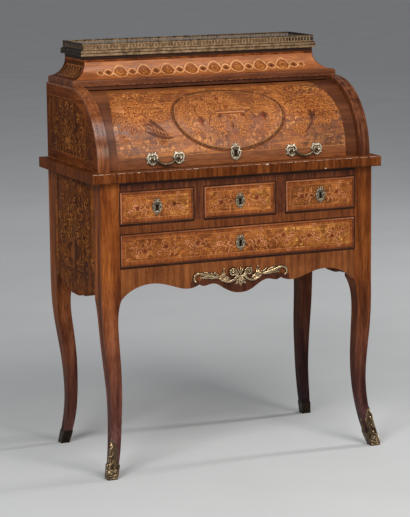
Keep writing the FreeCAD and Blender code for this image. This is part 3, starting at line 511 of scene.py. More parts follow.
    def vase(self, u, v, tall, pale, dark, line):
        """A two-handled vase, its right side shaded."""
        outline = ((0.2, 0), (0.2, 0.06), (0.08, 0.12), (0.09, 0.2), (0.28, 0.36), (0.36, 0.54), (0.3, 0.7),
                   (0.17, 0.8), (0.16, 0.88), (0.26, 1))
        handle = ((0.26, 0.78), (0.46, 0.8), (0.48, 0.62), (0.33, 0.52))
        middle = [(u, v + tall * h) for w, h in outline]
        self.strip(pale, [(u - tall * w, v + tall * h) for w, h in outline], middle, 6)
        self.strip(dark, middle, [(u + tall * w, v + tall * h) for w, h in outline], 6)
        for side in (-1, 1):
            grip = [(u + side * tall * w, v + tall * h) for w, h in handle]
            self.stem(line, through(grip, 5), tall * 0.06, tip=0.7, layer=7)

    def lay_down(self, body):
        """Glues the finished sheet to its body."""
        fit_piece(self.name, self.shape, body, "marquetry_wood", *self.woods)


def veneers(fibres, *rows, **grain):
    """Woods that share a grain. Each row is a name, deep, heart and light tones, and foliage if any."""
    return [polished_wood(*row[:4], fibres, foliage=row[4] if row[4:] else None, **grain) for row in rows]


faded = dict(shine=0.03, coat=0, dull=0.62)
side_wood = polished_wood("side_ground", (0.095, 0.026, 0.006), (0.165, 0.046, 0.0095), (0.24, 0.073, 0.015),
                          "Z", figure=34, foliage=((0.33, 0.112, 0.023), (0.06, 0.016, 0.005), 100, 0.7),
                          **faded)
side_band = polished_wood("side_crossband", (0.17, 0.05, 0.009), (0.26, 0.08, 0.015), (0.34, 0.112, 0.022),
                          "Y", **faded)
dusky_leaf, faded_leaf = veneers(
    "Z", ("inlay_dusky", (0.06, 0.017, 0.005), (0.095, 0.028, 0.007), (0.13, 0.04, 0.01)),
    ("inlay_faded", (0.25, 0.08, 0.016), (0.36, 0.125, 0.026), (0.46, 0.175, 0.04)), figure=60, **faded)
# The dark string is an inlay line, and also paints the shadow lines round the drawers and under the slab.
pale_string, dark_string_and_shadow = veneers(
    "X", ("string_pale", (0.44, 0.2, 0.07), (0.62, 0.31, 0.12), (0.72, 0.39, 0.17)),
    ("string_dark", (0.02, 0.008, 0.004), (0.04, 0.014, 0.006), (0.06, 0.022, 0.009)), figure=80)
dress(side_wood, "side_panel_left", "side_panel_right")
dusky_woods = (faded_leaf, dusky_leaf, faded_leaf, dusky_leaf)
band_foot, band_head, band_wide, line_inset = 512, 741, 17, 18
vase_foot, vase_mouth, vase_tall = 500, 576, 78
side_fan = ((16, 96, 13), (36, 116, 15), (56, 134, 15), (74, 146, 16), (90, 152, 18), (106, 146, 16),
            (124, 134, 15), (144, 116, 15), (164, 96, 13), (66, 92, 14), (90, 96, 15), (114, 90, 14))

for side, out in (("left", -1), ("right", 1)):
    low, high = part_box("side_panel_" + side)
    outer = low.x if out < 0 else high.x
    middle = (low.y + high.y) / 2
    panel = Marquetry("side_marquetry_" + side,
                      lambda u, v, rise: Vector((outer + out * rise * mm, middle + out * u * mm, v * mm)))
    half = (high.y - low.y) / 2 / mm
    for hand in (-1, 1):
        near, far = sorted((hand * half, hand * (half - band_wide)))
        panel.ground(side_band, near, band_foot, far, band_head)
        line = handed(hand, [(half - line_inset, band_foot), (half - line_inset, band_head)])
        panel.string(dusky_leaf, line, 1.6, closed=False)
    panel.vase(0, vase_foot, vase_tall, side_band, dusky_leaf, dusky_leaf)
    for wood, level, width in ((dusky_leaf, 498, 6), (faded_leaf, 502, 2)):
        panel.stem(wood, [Vector((-60, level)), Vector((0, level + 1)), Vector((60, level))], width, tip=1)
    panel.fan((0, vase_mouth), side_fan, 0.4, dusky_woods, (out, 10), leaves=10, size=23)
    for hand in (-1, 1):
        for at, up, heading, length, bend, leaves, size, bloom, seed in (
                (30, 504, 90 - hand * 40, 110, -70, 9, 22, 13, 91),
                (50, 500, 90 - hand * 20, 90, 60, 8, 20, 12, 95),
                (14, 494, 270 + hand * 50, 60, 40, 6, 16, 9, 97)):
            panel.spray((hand * at, up), heading, length, hand * bend, dusky_woods, leaves=leaves, size=size,
                        bloom=bloom, seed=seed + hand)
    panel.lay_down("case")

# Rails, apron, dividers and back
# The front frame is veneered with the grain upright on every rail, so that the rails read as short stripes.
# The top rail and dividers take a darker copy of the veneer as painted shade. Dark lines round the openings
# are old wax and painted shadow, with thicker painted shadow under and right of each drawer and a band under
# the slab; the apron darkens round its mount with grime and painted shade. Runners and the plain back are
# oak, left dry.

rail_wood = polished_wood("rail_crossgrain", (0.135, 0.036, 0.009), (0.195, 0.055, 0.0135),
                          (0.26, 0.079, 0.02), "Z", figure=170, stripe=4, pores=0.5)
# A darker copy of the rail veneer: painted shade for the top rail under the slab and the dividers.
rail_shaded = polished_wood("rail_crossgrain_painted_shade", (0.07, 0.018, 0.007), (0.125, 0.034, 0.012),
                            (0.19, 0.057, 0.02), "Z", figure=170, stripe=4)
apron_wood, apron_grimed = veneers(
    "Z", ("apron_crossgrain", (0.165, 0.048, 0.012), (0.235, 0.072, 0.018), (0.3, 0.099, 0.026)),
    ("apron_grimed", (0.055, 0.015, 0.008), (0.085, 0.024, 0.011), (0.12, 0.036, 0.016)),
    figure=90, stripe=6, pores=0.5)
dry = dict(figure=40, pores=0.8, gloss=0.55, dull=0.8, coat=0)
oak = polished_wood("oak_dry", (0.15, 0.085, 0.04), (0.24, 0.145, 0.07), (0.31, 0.19, 0.1), "X", **dry)
oak_deep = polished_wood("oak_dry_deep", (0.13, 0.075, 0.036), (0.22, 0.13, 0.065), (0.29, 0.18, 0.095), "Y",
                         **dry)
dress(rail_wood, "mid_rail")
# Painted shade: the top rail and the dividers take the darker copy.
dress(rail_shaded, "top_rail", "drawer_dividers")
dress(apron_wood, "front_apron")
dress(oak, "lower_back")
dress(oak_deep, "drawer_runners")


def box_mm(node):
    """The low and high corners of a CAD node's box, in mm."""
    return [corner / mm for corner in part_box(node)]


def upright(face):
    """Lays a drawing on an upright front at a depth in mm: u runs across it and v is a height."""
    return lambda u, v, rise: Vector((u, face - rise, v)) * mm


def front_of(node):
    """What a CAD node covers when seen from the front, in mm: left, foot, right and head."""
    low, high = box_mm(node)
    return low.x, low.z, high.x, high.z


def inset(edges, by):
    """A rectangle drawn in on every side."""
    u0, v0, u1, v1 = edges
    return u0 + by, v0 + by, u1 - by, v1 - by


def corners(u0, v0, u1, v1):
    """The corners of a rectangle."""
    return [(u0, v0), (u1, v0), (u1, v1), (u0, v1)]


apron_face = box_mm("front_apron")[0].y
on_rails = upright(apron_face)
# Dark lines round the openings and up the posts, part old wax and part painted shadow; thick painted shadow
# under and right of each drawer, and a painted shadow band under the slab.
wax_and_shadow = Marquetry("rail_dark_lines_painted_shadow", on_rails)
gap, shadow_reach, sliver = 1.8, 2.8, 0.8
for part in ("left", "middle", "right", "long"):
    u0, v0, u1, v1 = edges = front_of("drawer_front_" + part)
    wax_and_shadow.string(dark_string_and_shadow, corners(*inset(edges, -gap)), 2)
    wax_and_shadow.ground(dark_string_and_shadow, u0 - shadow_reach, v0 - 2 * shadow_reach, u1 + shadow_reach, v0 - sliver)
    wax_and_shadow.ground(dark_string_and_shadow, u1 + sliver, v0 - shadow_reach, u1 + 4, v1 + shadow_reach)
half_rail = box_mm("top_rail")[1].x
shadow_foot, shadow_head, post_foot, post_head = 734.5, 741.8, 531, 741
wax_and_shadow.ground(dark_string_and_shadow, -half_rail, shadow_foot, half_rail, shadow_head)
for hand in (-1, 1):
    wax_and_shadow.string(dark_string_and_shadow, handed(hand, [(half_rail, post_foot), (half_rail, post_head)]), 1.2, closed=False)
# Darker streaks up from the apron's lower edge round and under the mount: grime and painted shade.
apron_skin = skin_of("front_apron")
streaks, streak_wide, first_streak, streak_head, streak_rise = 184, 1.5, -138, 476, 22
for k in range(streaks):
    at = first_streak + streak_wide * k
    below = Vector((at + streak_wide / 2, apron_face + 2, 300)) * mm
    sawn_edge = apron_skin.ray_cast(below, Vector((0, 0, 1)))[0].z / mm
    streak = streak_head + (streak_rise - 0.1 * abs(at)) * wobble(k + 5)
    wax_and_shadow.ground(apron_grimed, at, sawn_edge + sliver, at + streak_wide, streak)
wax_and_shadow.lay_down("case")

# Apron mount
# A gilt bronze mount in one casting, pinned to the apron: two volutes about a bud, a leaf drop, and on each
# side a broad scroll with an acanthus spray. It is burnished on the high places and dark in the hollows; a
# wider dark copy just off the apron under it is its painted shadow.

mount = Casting("apron_mount_chased", on_rails)
# Painted shadow: a wider dark copy of the mount's scrolls and leaves, laid just off the apron under it.
shadow = Casting("apron_mount_painted_shadow", on_rails)


def chased(kind, line, width, rise, **shape):
    """A scroll or leaf of the mount, and a wider dark copy just off the apron under it as painted shadow."""
    getattr(mount, kind)(line, width, rise, **shape)
    getattr(shadow, kind)(line, width + 3, 0.8, **shape)


def sprig(side, points, width, rise, steps=7):
    """A leaf of two lobes through drawn points."""
    chased("leaf", handed(side, through(points, steps)), width, rise)


for side in (-1, 1):
    chased("scroll", handed(side, coil((22, 493), 1.5, 11, -400, 640, 60)), 3.6, 5.4, tip=1.3)
    mount.bead(side * 22, 493, 5, 5, 6.8)
    arm = through([(9.6, 490), (12, 481), (21, 473.5), (33, 470), (46, 472.5), (58, 481)], 8)
    chased("scroll", handed(side, arm), 7.4, 7.2, tip=0.6)
    sprig(side, [(36, 472), (50, 474.5), (58, 479), (64, 486)], 8, 5.4)
    sprig(side, [(35, 474), (47, 478), (55, 484), (59, 492)], 8.4, 6)
    sprig(side, [(33, 475), (44, 480), (50, 488), (53, 498)], 8.4, 6.6)
    sprig(side, [(30, 475), (40, 480.5), (46, 490), (47.5, 507)], 10, 7.4)
    mount.bead(side * 47.5, 504.5, 5.4, 7, 6)
    tail = through([(62, 483), (76, 487), (92, 491), (106, 495.4), (119, 497), (128.4, 491.5), (129.6, 482),
                    (125, 476)], 7)
    chased("scroll", handed(side, tail), 6, 6.4, tip=0.75)
    sprig(side, [(66, 483), (82, 484.5), (98, 485.5), (115, 484.6)], 9, 5.4, 8)
    sprig(side, [(74, 489), (88, 495), (104, 499.6)], 7.6, 5.4, 8)
    sprig(side, [(82, 487), (98, 490.4), (114, 491.6)], 6.4, 5.4, 8)
    sprig(side, [(62, 486), (69, 492), (75, 499)], 8, 5.4, 8)
    mount.bead(side * 125.5, 477, 6, 6.6, 5.4)
    sprig(side, [(2, 478), (7, 468), (17, 461)], 10, 5.4)
    sprig(side, [(2, 479), (9, 473.5), (15, 470)], 6, 4.6)
    sprig(side, [(0, 485), (4.5, 495), (8, 502)], 4.4, 4.4)
sprig(1, [(0, 480), (0, 468), (0, 455)], 15, 7, 10)
sprig(1, [(0, 483), (0, 496), (0, 510)], 6, 5.6, 10)
chased("scroll", through([(-14, 483), (0, 482), (14, 483)], 6), 5.4, 7.2, tip=1)
shadow.fix("case", "gilt_bronze", dark_bronze)
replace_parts(mount.fix("case", "gilt_bronze", gilt), "apron_mount")

# Drawers
# Three short drawers and a long one: oak boxes behind fronts with a raised bead, a crossband and a field of
# inlaid flower scrolls. The bead's lower and right sides are painted shade and its left a painted highlight,
# and the right drawer's field is a darker copy as painted shade. Each has a brass escutcheon over a steel
# lock, its keyhole a black shape of painted shade.

# The second field wood is a darker copy, painted shade for the right drawer.
field_wood, field_painted_shade, golden = veneers(
    "X", ("drawer_field", (0.25, 0.072, 0.014), (0.39, 0.119, 0.023), (0.5, 0.17, 0.038),
          ((0.68, 0.26, 0.062), (0.19, 0.048, 0.011), 130, 0.8)),
    ("drawer_field_dim", (0.16, 0.046, 0.009), (0.25, 0.078, 0.015), (0.32, 0.11, 0.024),
     ((0.45, 0.18, 0.04), (0.115, 0.03, 0.007), 130, 0.8)),
    ("drawer_field_golden", (0.4, 0.134, 0.024), (0.52, 0.19, 0.037), (0.62, 0.245, 0.052),
     ((0.78, 0.37, 0.085), (0.26, 0.078, 0.016), 130, 0.8)), figure=20)
cross_up, cross_level = (
    polished_wood("crossband_" + way, (0.24, 0.064, 0.013), (0.33, 0.093, 0.019), (0.42, 0.13, 0.029), fibres,
                  figure=110, stripe=5) for way, fibres in (("upright", "Z"), ("level", "X")))
bead_polish = dict(figure=40, gloss=0.28, dull=0.42, coat=0.2)
bead_wood = polished_wood("cockbead", (0.2, 0.058, 0.017), (0.36, 0.115, 0.038), (0.48, 0.18, 0.07), "X",
                          **bead_polish)
# Darker and paler copies of the bead wood: painted shade for its lower and right sides, a painted highlight
# for its left.
bead_painted_shade = polished_wood("cockbead_painted_shade", (0.09, 0.026, 0.01), (0.15, 0.045, 0.016), (0.22, 0.07, 0.025),
                            "X", figure=40)
bead_painted_highlight = polished_wood("cockbead_painted_highlight", (0.38, 0.13, 0.055), (0.5, 0.19, 0.085), (0.6, 0.25, 0.12),
                            "Z", **bead_polish)
leaf_pale, leaf_pink, leaf_shaded, leaf_dark, rose = veneers(
    "X", ("inlay_pale", (0.46, 0.155, 0.032), (0.57, 0.21, 0.046), (0.66, 0.265, 0.066)),
    ("inlay_pink", (0.52, 0.19, 0.066), (0.66, 0.27, 0.11), (0.74, 0.33, 0.15)),
    ("inlay_shaded", (0.2, 0.054, 0.012), (0.29, 0.083, 0.018), (0.37, 0.115, 0.026)),
    ("inlay_dark", (0.08, 0.022, 0.007), (0.13, 0.037, 0.01), (0.18, 0.054, 0.015)),
    ("inlay_rose", (0.17, 0.03, 0.01), (0.26, 0.05, 0.016), (0.34, 0.072, 0.022)), figure=90)
brass = cast_metal("aged_brass", (0.8, 0.69, 0.53), (0.36, 0.29, 0.2), (0.014, 0.01, 0.007),
                   dirty=(0.14, 0.56))
plate_brass = cast_metal("plate_brass", (0.22, 0.175, 0.12), (0.085, 0.065, 0.043), (0.014, 0.01, 0.007))
patina = cast_metal("brass_patina", (0.13, 0.1, 0.065), (0.06, 0.045, 0.03), (0.012, 0.009, 0.006), gloss=0.4,
                    dull=0.6)
steel = cast_metal("lock_steel", (0.3, 0.29, 0.28), (0.16, 0.15, 0.14), (0.03, 0.03, 0.03))
# Near-black finish for the keyholes: painted shade for the deep holes.
keyhole_shade_finish = polished_wood("keyhole_painted_shade", (0.004, 0.003, 0.002), (0.006, 0.004, 0.003), (0.01, 0.007, 0.005),
                       "Y", shine=0.05, coat=0)
bloom_woods = (leaf_pale, leaf_shaded, leaf_dark, leaf_dark)
scroll_woods = (leaf_pink, leaf_shaded, leaf_pink, rose)


def mitred(shape, place, box, profile, finish, closed=True):
    """Carries a profile of insets and heights round the four sides of a frame. finish picks a face's finish
    from its side and its step along the profile."""
    u0, v0, u1, v1 = box
    rings = []
    for u, v, su, sv in ((u0, v0, 1, 1), (u1, v0, -1, 1), (u1, v1, -1, -1), (u0, v1, 1, -1)):
        rings.append([shape.verts.new(place(u + su * deep, v + sv * deep, up)) for deep, up in profile])
    count = len(profile)
    for i in range(4):
        a, b = rings[i], rings[(i + 1) % 4]
        for k in range(count if closed else count - 1):
            j = (k + 1) % count
            shape.faces.new((a[k], b[k], b[j], a[j])).material_index = finish(i, k)


def bridge(shape, rings, smooth=True):
    """Faces from each ring of points to the next."""
    for a, b in zip(rings, rings[1:]):
        for k in range(len(a)):
            j = (k + 1) % len(a)
            shape.faces.new((a[k], a[j], b[j], b[k])).smooth = smooth


def notched(u0, v0, u1, v1, cut):
    """Corners of a frame that steps in at each corner."""
    return [(u0 + cut, v0), (u1 - cut, v0), (u1 - cut, v0 + cut), (u1, v0 + cut), (u1, v1 - cut),
            (u1 - cut, v1 - cut), (u1 - cut, v1), (u0 + cut, v1), (u0 + cut, v1 - cut), (u0, v1 - cut),
            (u0, v0 + cut), (u0 + cut, v0 + cut)]


def rocaille(plate, u, v, grow):
    """Chased scrolls and leaves about a keyhole."""
    broad = 1.25

    def drawn(points, side=1):
        return through([(u + side * broad * x * grow, v + y * grow) for x, y in points], 6)
    for side in (-1, 1):
        plate.scroll(drawn([(2.6, 12), (6.6, 11.4), (8.4, 7.4), (5.8, 4)], side), 2.8 * grow, 2.8, tip=0.8)
        plate.scroll(drawn([(6, 4), (9.2, 0), (8.8, -5.6), (5.6, -8.6)], side), 3 * grow, 3, tip=0.7)
        plate.leaf(drawn([(7.4, -6), (7.4, -11), (4, -16.4)], side), 5 * grow, 2.6)
        plate.leaf(drawn([(2.4, -11), (3.8, -15.4), (1.8, -20)], side), 4.4 * grow, 2.6)
        plate.leaf(drawn([(4.4, 2), (5.4, -2.6), (4.4, -7.4)], side), 3.4 * grow, 2.4)
        plate.leaf(drawn([(2, 14), (4.4, 17), (7.4, 17.8)], side), 3.4 * grow, 2.6)
        plate.bead(u + side * 12 * grow, v + 2.6 * grow, 3.4 * grow, 3.4 * grow, 3)
    plate.bead(u, v + 12.6 * grow, 5 * grow, 4.4 * grow, 3)
    plate.leaf(drawn([(0, 14.4), (0, 17), (0, 20)]), 4.4 * grow, 3)
    plate.leaf(drawn([(0, -11), (0, -16), (0, -23.6)]), 6 * grow, 3.2)


def keyhole(name, u, v, lay, body, grow):
    """A black keyhole shape, a round hole over a slot, laid on the plate as painted shade for the deep hole.
    """
    shape = bmesh.new()
    outline = [(1.8, -9), (1.8, -2.4)]
    outline += [(3.1 * cos(a), 3.1 * sin(a)) for a in (radians(-52 + 284 * i / 20) for i in range(21))]
    outline += [(-1.8, -2.4), (-1.8, -9)]
    rings = [[shape.verts.new(lay(u + x * grow, v + y * grow, rise)) for x, y in outline]
             for rise in (2.4, 2.1)]
    bridge(shape, rings, smooth=False)
    shape.faces.new(rings[1])
    fit_piece(name, shape, body, "lock_steel", keyhole_shade_finish)


on_front = upright(box_mm("drawer_front_long")[0].y + 2)
half_round = [(2.1 - 2.25 * cos(a), 0.1 + 2.5 * sin(a)) for a in (pi * k / 7 for k in range(8))]
# Bead finish by side, bottom, right, top, left: painted shade, painted shade, plain, painted highlight.
bead_sides = (1, 1, 0, 2)
field_inset, cross_inset, cross_wide, string_inset, rungs = 12, 4, 8.5, 13, 12
sprigs = ((0, 0, 34, 62, -92, scroll_woods, 9, 14, 8, 0), (0, 0, -42, 50, 100, scroll_woods, 8, 13, 8, 3),
          (24, 6, 20, 34, 70, scroll_woods, 6, 11, 6, 5), (30, -5, -10, 30, -80, bloom_woods, 6, 10, 5, 6),
          (8, 0, 60, 24, -60, bloom_woods, 6, 10, 5, 8), (20, 0, -50, 24, 50, bloom_woods, 6, 10, 5, 20),
          (36, 0, 40, 24, -40, bloom_woods, 6, 10, 5, 36), (52, 0, -64, 24, 64, bloom_woods, 6, 10, 5, 52))
for part in ("left", "middle", "right", "long"):
    body = "drawer_" + part
    if part == "long":
        roots, golden_reach = (16, 92, 168, 238), 220
        roses = ((-262, -6), (-205, 4), (-118, 6), (52, -3), (122, 8), (196, 2), (262, -4))
    else:
        roots, golden_reach, roses = (15,), 74, ((47, 3), (-52, -2))
    # The right drawer's field is the darker copy, painted shade where the light falls off to the right.
    field, sunned = (field_painted_shade, field_wood) if part == "right" else (field_wood, golden)
    u0, v0, u1, v1 = edges = front_of("drawer_front_" + part)
    plate_low, plate_high = box_mm("escutcheon_" + part)
    centre, level = (u0 + u1) / 2, (plate_low.z + plate_high.z) / 2
    dress(rail_wood, "drawer_front_" + part)
    dress(oak_deep, "drawer_box_" + part)
    dress(plate_brass, "escutcheon_" + part)
    dress(steel, "lock_case_" + part, "lock_bolt_" + part)
    bead = bmesh.new()
    mitred(bead, on_front, edges, half_round, lambda side, step: bead_sides[side], closed=False)
    bmesh.ops.recalc_face_normals(bead, faces=bead.faces)
    for face in bead.faces:
        face.smooth = True
    fit_piece("cockbead_" + part, bead, body, "marquetry_wood", bead_wood, bead_painted_shade, bead_painted_highlight)
    front = Marquetry("drawer_marquetry_" + part, on_front)
    front.ground(field, *inset(edges, field_inset))
    front.band(cross_level, cross_up, *inset(edges, cross_inset), cross_wide)
    for k in range(rungs):
        foot, head = (v0 + field_inset + (v1 - v0 - 2 * field_inset) * j / rungs for j in (k, k + 1))
        start = u1 - golden_reach + 34 * wobble(k + len(part))
        front.ground(sunned, start, foot, u1 - field_inset, head, layer=2)
    front.string(leaf_pink, notched(*inset(edges, string_inset), 4.5), 0.8)
    for side in (-1, 1):
        for k, shift in enumerate(roots):
            sway = side if k % 2 == 0 else -side
            seed = 7 * k + len(part) + 3 * side
            root = Vector((centre + side * shift, level - 2 * side * sway))
            ahead = 90 - side * 90
            for along, up, lean, length, bend, woods, leaves, size, bloom, later in sprigs:
                front.spray(root + Vector((side * along, sway * up)), ahead + sway * lean, length,
                            sway * bend, woods, leaves=leaves, size=size, bloom=bloom, seed=seed + later)
    for at, up in roses:
        front.flower((centre + at, level + up), 6.5, 6, rose, leaf_dark, leaf_dark, turn=at, layer=7)
    front.lay_down(body)
    plate = Casting("escutcheon_chased_" + part, upright(plate_low.y + 0.3))
    rocaille(plate, centre, level, 1.0)
    plate.fix(body, "aged_brass", brass)
    keyhole("keyhole_" + part, centre, level + 1, on_front, body, grow=1.3)

# Desk top and writing slide
# The top is three fixed boards round a slide that draws forward. Its edge has veneer of upright grain, worn
# pale and chipped along the arris; the slide carries a leather panel in a veneered border.

edge_wood = polished_wood("slab_edge", (0.08, 0.02, 0.005), (0.15, 0.041, 0.01), (0.24, 0.073, 0.019), "Z",
                          figure=120, stripe=5, shine=0.03, coat=0)
top_wood = polished_wood("slab_top", (0.1, 0.026, 0.007), (0.19, 0.054, 0.014), (0.28, 0.09, 0.026), "X",
                         figure=40)
worn_edge = polished_wood("worn_arris", (0.4, 0.22, 0.14), (0.6, 0.4, 0.3), (0.7, 0.52, 0.42), "X",
                          figure=120)
chip = polished_wood("chipped_ground", (0.6, 0.52, 0.46), (0.78, 0.7, 0.64), (0.85, 0.8, 0.76), "X",
                     figure=200)
dress(edge_wood, "desk_top_left", "desk_top_right", "desk_top_back", "writing_slide")
leather, tree, spot = new_finish("desk_leather")
grain = shade(tree, "TexVoronoi", Vector=spot, Scale=900)["Distance"]
rub = shade(tree, "TexNoise", Vector=spot, Scale=14, Detail=5)["Fac"]
colour = tones(tree, rub, (0.35, (0.05, 0.018, 0.01)), (0.65, (0.12, 0.042, 0.02)))
skin = shade(tree, "Bump", Strength=0.35, Distance=0.0004, Height=grain)["Normal"]
dull = shade(tree, "MapRange", Value=rub, To_Min=0.4, To_Max=0.7)["Result"]
surface(tree, Base_Color=colour, Roughness=dull, Normal=skin)
dress(leather, "slide_leather")

slide_low, slide_high = box_mm("writing_slide")
on_slab_edge = upright(box_mm("desk_top_left")[0].y)
slide_half, board_inner, board_outer, joint = 336, 338, 400, 337.3
slab_foot, under_arris, arris, slab_head = 743, 743.4, 767.4, 767
chips = ((70.8, 765.6, 2.6), (-280, 766, 1.7), (237, 745, 2), (150, 766.4, 1.1), (-120, 766.4, 1.0))
for body, spans in (("slide", ((-slide_half, slide_half),)),
                    ("case", ((-board_outer, -board_inner), (board_inner, board_outer)))):
    wear = Marquetry("slab_wear_" + body, on_slab_edge)
    for a, b in spans:
        at, k = a, 0
        while at < b - 4:
            run = min(6 + 22 * wobble(k + a), b - at)
            tall = 0.5 + 0.9 * wobble(k + 40)
            wear.ground(worn_edge, at, arris - tall, at + run * 0.8, arris)
            at, k = at + run, k + 1
        wear.string(dark_string_and_shadow, [(a, under_arris), (b, under_arris)], 1.2, layer=1, closed=False)
    if body == "slide":
        for at, up, size in chips:
            wear.disc(chip, (at, up), size, tall=0.7)
            wear.disc(chip, (at + size, up + 0.3), size * 0.6, tall=0.9)
    else:
        for hand in (-1, 1):
            wear.string(dark_string_and_shadow, handed(hand, [(joint, slab_foot), (joint, slab_head)]), 1.3,
                        closed=False)
    wear.lay_down(body)
border = Marquetry("slide_border", lambda u, v, rise: Vector((u, v, slide_high.z + rise)) * mm)
pad_low, pad_high = box_mm("slide_leather")
bolt_low, bolt_high = box_mm("cylinder_bolt")
tongue, play = 5.5, 1.5
left, right, front, back = slide_low.x + tongue, slide_high.x - tongue, slide_low.y + 1, slide_high.y - 1
hole_left, hole_front, hole_right, hole_back = (bolt_low.x - play, bolt_low.y - play, bolt_high.x + play,
                                                bolt_high.y + play)
for sheet in ((left, front, hole_left, pad_low.y), (hole_right, front, right, pad_low.y),
              (hole_left, front, hole_right, hole_front), (hole_left, hole_back, hole_right, pad_low.y),
              (left, pad_low.y, pad_low.x, pad_high.y), (pad_high.x, pad_low.y, right, pad_high.y),
              (left, pad_high.y, right, back)):
    border.ground(top_wood, *sheet)
border.lay_down("slide")

# Cheeks, upper back and fascia
# Two solid cheeks with quarter-round reeded fronts stand on the desk top; their outer faces carry foliage
# inside a pale line along the curve. The right cheek's reeded front is a darker copy of the left's as painted
# shade. Oak closes the upper back, and the fascia the gap over the cylinder; its dark veneer also stands for
# the painted shade under the plinth.

cheek_wood = polished_wood("cheek_ground", (0.08, 0.021, 0.006), (0.145, 0.039, 0.009), (0.22, 0.065, 0.014),
                           "Z", figure=34, foliage=((0.27, 0.088, 0.018), (0.055, 0.014, 0.005), 100, 0.65),
                           **faded)
cheek_band = polished_wood("cheek_band", (0.1, 0.025, 0.007), (0.19, 0.05, 0.012), (0.28, 0.084, 0.02), "Y",
                           figure=50, **faded)
reeded = dict(figure=60, stripe=3, pores=0.4, gloss=0.22, dull=0.3)
cheek_edge = polished_wood("cheek_reeds", (0.13, 0.036, 0.01), (0.24, 0.072, 0.02), (0.34, 0.115, 0.036), "Z",
                           coat=0.12, shine=0.27, **reeded)
# A darker copy of the reeds for the right cheek: painted shade.
cheek_painted_shade = polished_wood("cheek_reeds_painted_shade", (0.075, 0.021, 0.008), (0.14, 0.042, 0.015), (0.2, 0.068, 0.026),
                          "Z", coat=0.1, shine=0.2, **reeded)
# Dark fascia veneer, dark enough to also paint the shade under the plinth.
fascia_wood_and_shade = polished_wood("fascia_veneer_and_painted_shade", (0.05, 0.014, 0.006), (0.085, 0.024, 0.009),
                            (0.125, 0.039, 0.014), "X", figure=14, coat=0.05, shine=0.15)
dress(cheek_edge, "cheek_left")
dress(cheek_painted_shade, "cheek_right")
dress(oak, "upper_back")
dress(fascia_wood_and_shade, "fascia")
dress(steel, "pivot_pins")
pin_low, pin_high = box_mm("pivot_pins")
pivot = (pin_low + pin_high) / 2
rim_radius, inner_radius, foot, foot_band = 183, 157, 772, 20
sweep = [radians(180 - 90 * i / 40) for i in range(41)]
cheek_fan = ((14, 100, 12), (32, 108, 13), (50, 112, 14), (68, 112, 14), (86, 112, 15), (104, 112, 14),
             (122, 112, 14), (140, 116, 13), (158, 120, 12), (172, 124, 11), (80, 64, 12), (116, 66, 12))


def curve(reach):
    """The cheek's outline at a distance from the pivot."""
    return [Vector((pivot.y + reach * cos(a), pivot.z + reach * sin(a))) for a in sweep]


rim, inner = curve(rim_radius), curve(inner_radius)
for side, out in (("left", -1), ("right", 1)):
    low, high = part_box("cheek_" + side)
    outer = low.x if out < 0 else high.x
    back, line_back = high.y / mm - 3, high.y / mm - 26
    cheek = Marquetry("cheek_marquetry_" + side,
                      lambda u, v, rise: Vector((outer + out * rise * mm, u * mm, v * mm)))
    cheek.strip(cheek_wood, rim, [Vector((p.x, foot)) for p in rim], 1)
    cheek.ground(cheek_wood, rim[-1].x, foot, back, rim[-1].y)
    cheek.strip(cheek_band, rim, inner, 2)
    cheek.ground(cheek_band, rim[-1].x, inner[-1].y, back, rim[-1].y, layer=2)
    cheek.ground(cheek_band, inner[0].x, foot, back, foot + foot_band, layer=2)
    cheek.stem(faded_leaf, inner + [Vector((line_back, inner[-1].y))], 1.5, tip=1)
    line_foot = foot + foot_band + 1
    cheek.string(faded_leaf, [(inner[0].x, line_foot), (line_back, line_foot), (line_back, inner[-1].y)], 1.2,
                 layer=4, closed=False)
    cheek.fan((44, 806), cheek_fan, 0.4, dusky_woods, (5, 13), leaves=9, size=20)
    cheek.lay_down("case")

# Cylinder
# A curved shell coopered from narrow staves and veneered: brown borders, a field of flower sprays with a dark
# winged leaf, and an oval picture of a basket and urns. The right border is a darker copy as painted shadow
# from the cheek, widening towards the top, and the left border a lighter copy as painted light; the right
# part of the field and its sprays are darker copies as painted shade. It rides on two oak quadrants and has a
# lock.

shell_high = box_mm("cylinder_shell")[1]
radius = shell_high.z - pivot.z


def on_cylinder(u, v, rise):
    """u along the cylinder and v up round it from the level of the pivots."""
    a = v / radius
    return Vector((u, pivot.y - (radius + rise) * cos(a), pivot.z + (radius + rise) * sin(a))) * mm


def turn(angle):
    """A height round the cylinder from an angle."""
    return radius * radians(angle)


satin = dict(gloss=0.34, dull=0.46, coat=0.12, shine=0.38)
# The field wood and a darker copy, the copy painted shade on the right of the field.
amber, amber_painted_shade = veneers(
    "X", ("cylinder_field", (0.27, 0.075, 0.013), (0.42, 0.127, 0.022), (0.55, 0.186, 0.037),
          ((0.74, 0.3, 0.07), (0.25, 0.068, 0.015), 125, 0.8)),
    ("cylinder_field_dim", (0.2, 0.056, 0.011), (0.3, 0.091, 0.017), (0.39, 0.132, 0.028),
     ((0.48, 0.184, 0.044), (0.15, 0.042, 0.01), 125, 0.8)), figure=14, **satin)
honey = polished_wood("medallion_ground", (0.26, 0.072, 0.012), (0.39, 0.116, 0.02), (0.51, 0.168, 0.033),
                      "Z", figure=14, foliage=((0.68, 0.265, 0.062), (0.22, 0.06, 0.014), 115, 0.76), **satin)
tan = polished_wood("cylinder_field_shaded", (0.19, 0.053, 0.011), (0.3, 0.09, 0.018), (0.4, 0.13, 0.027),
                    "X", figure=20, foliage=((0.44, 0.148, 0.03), (0.19, 0.052, 0.012), 130, 0.6), **satin)
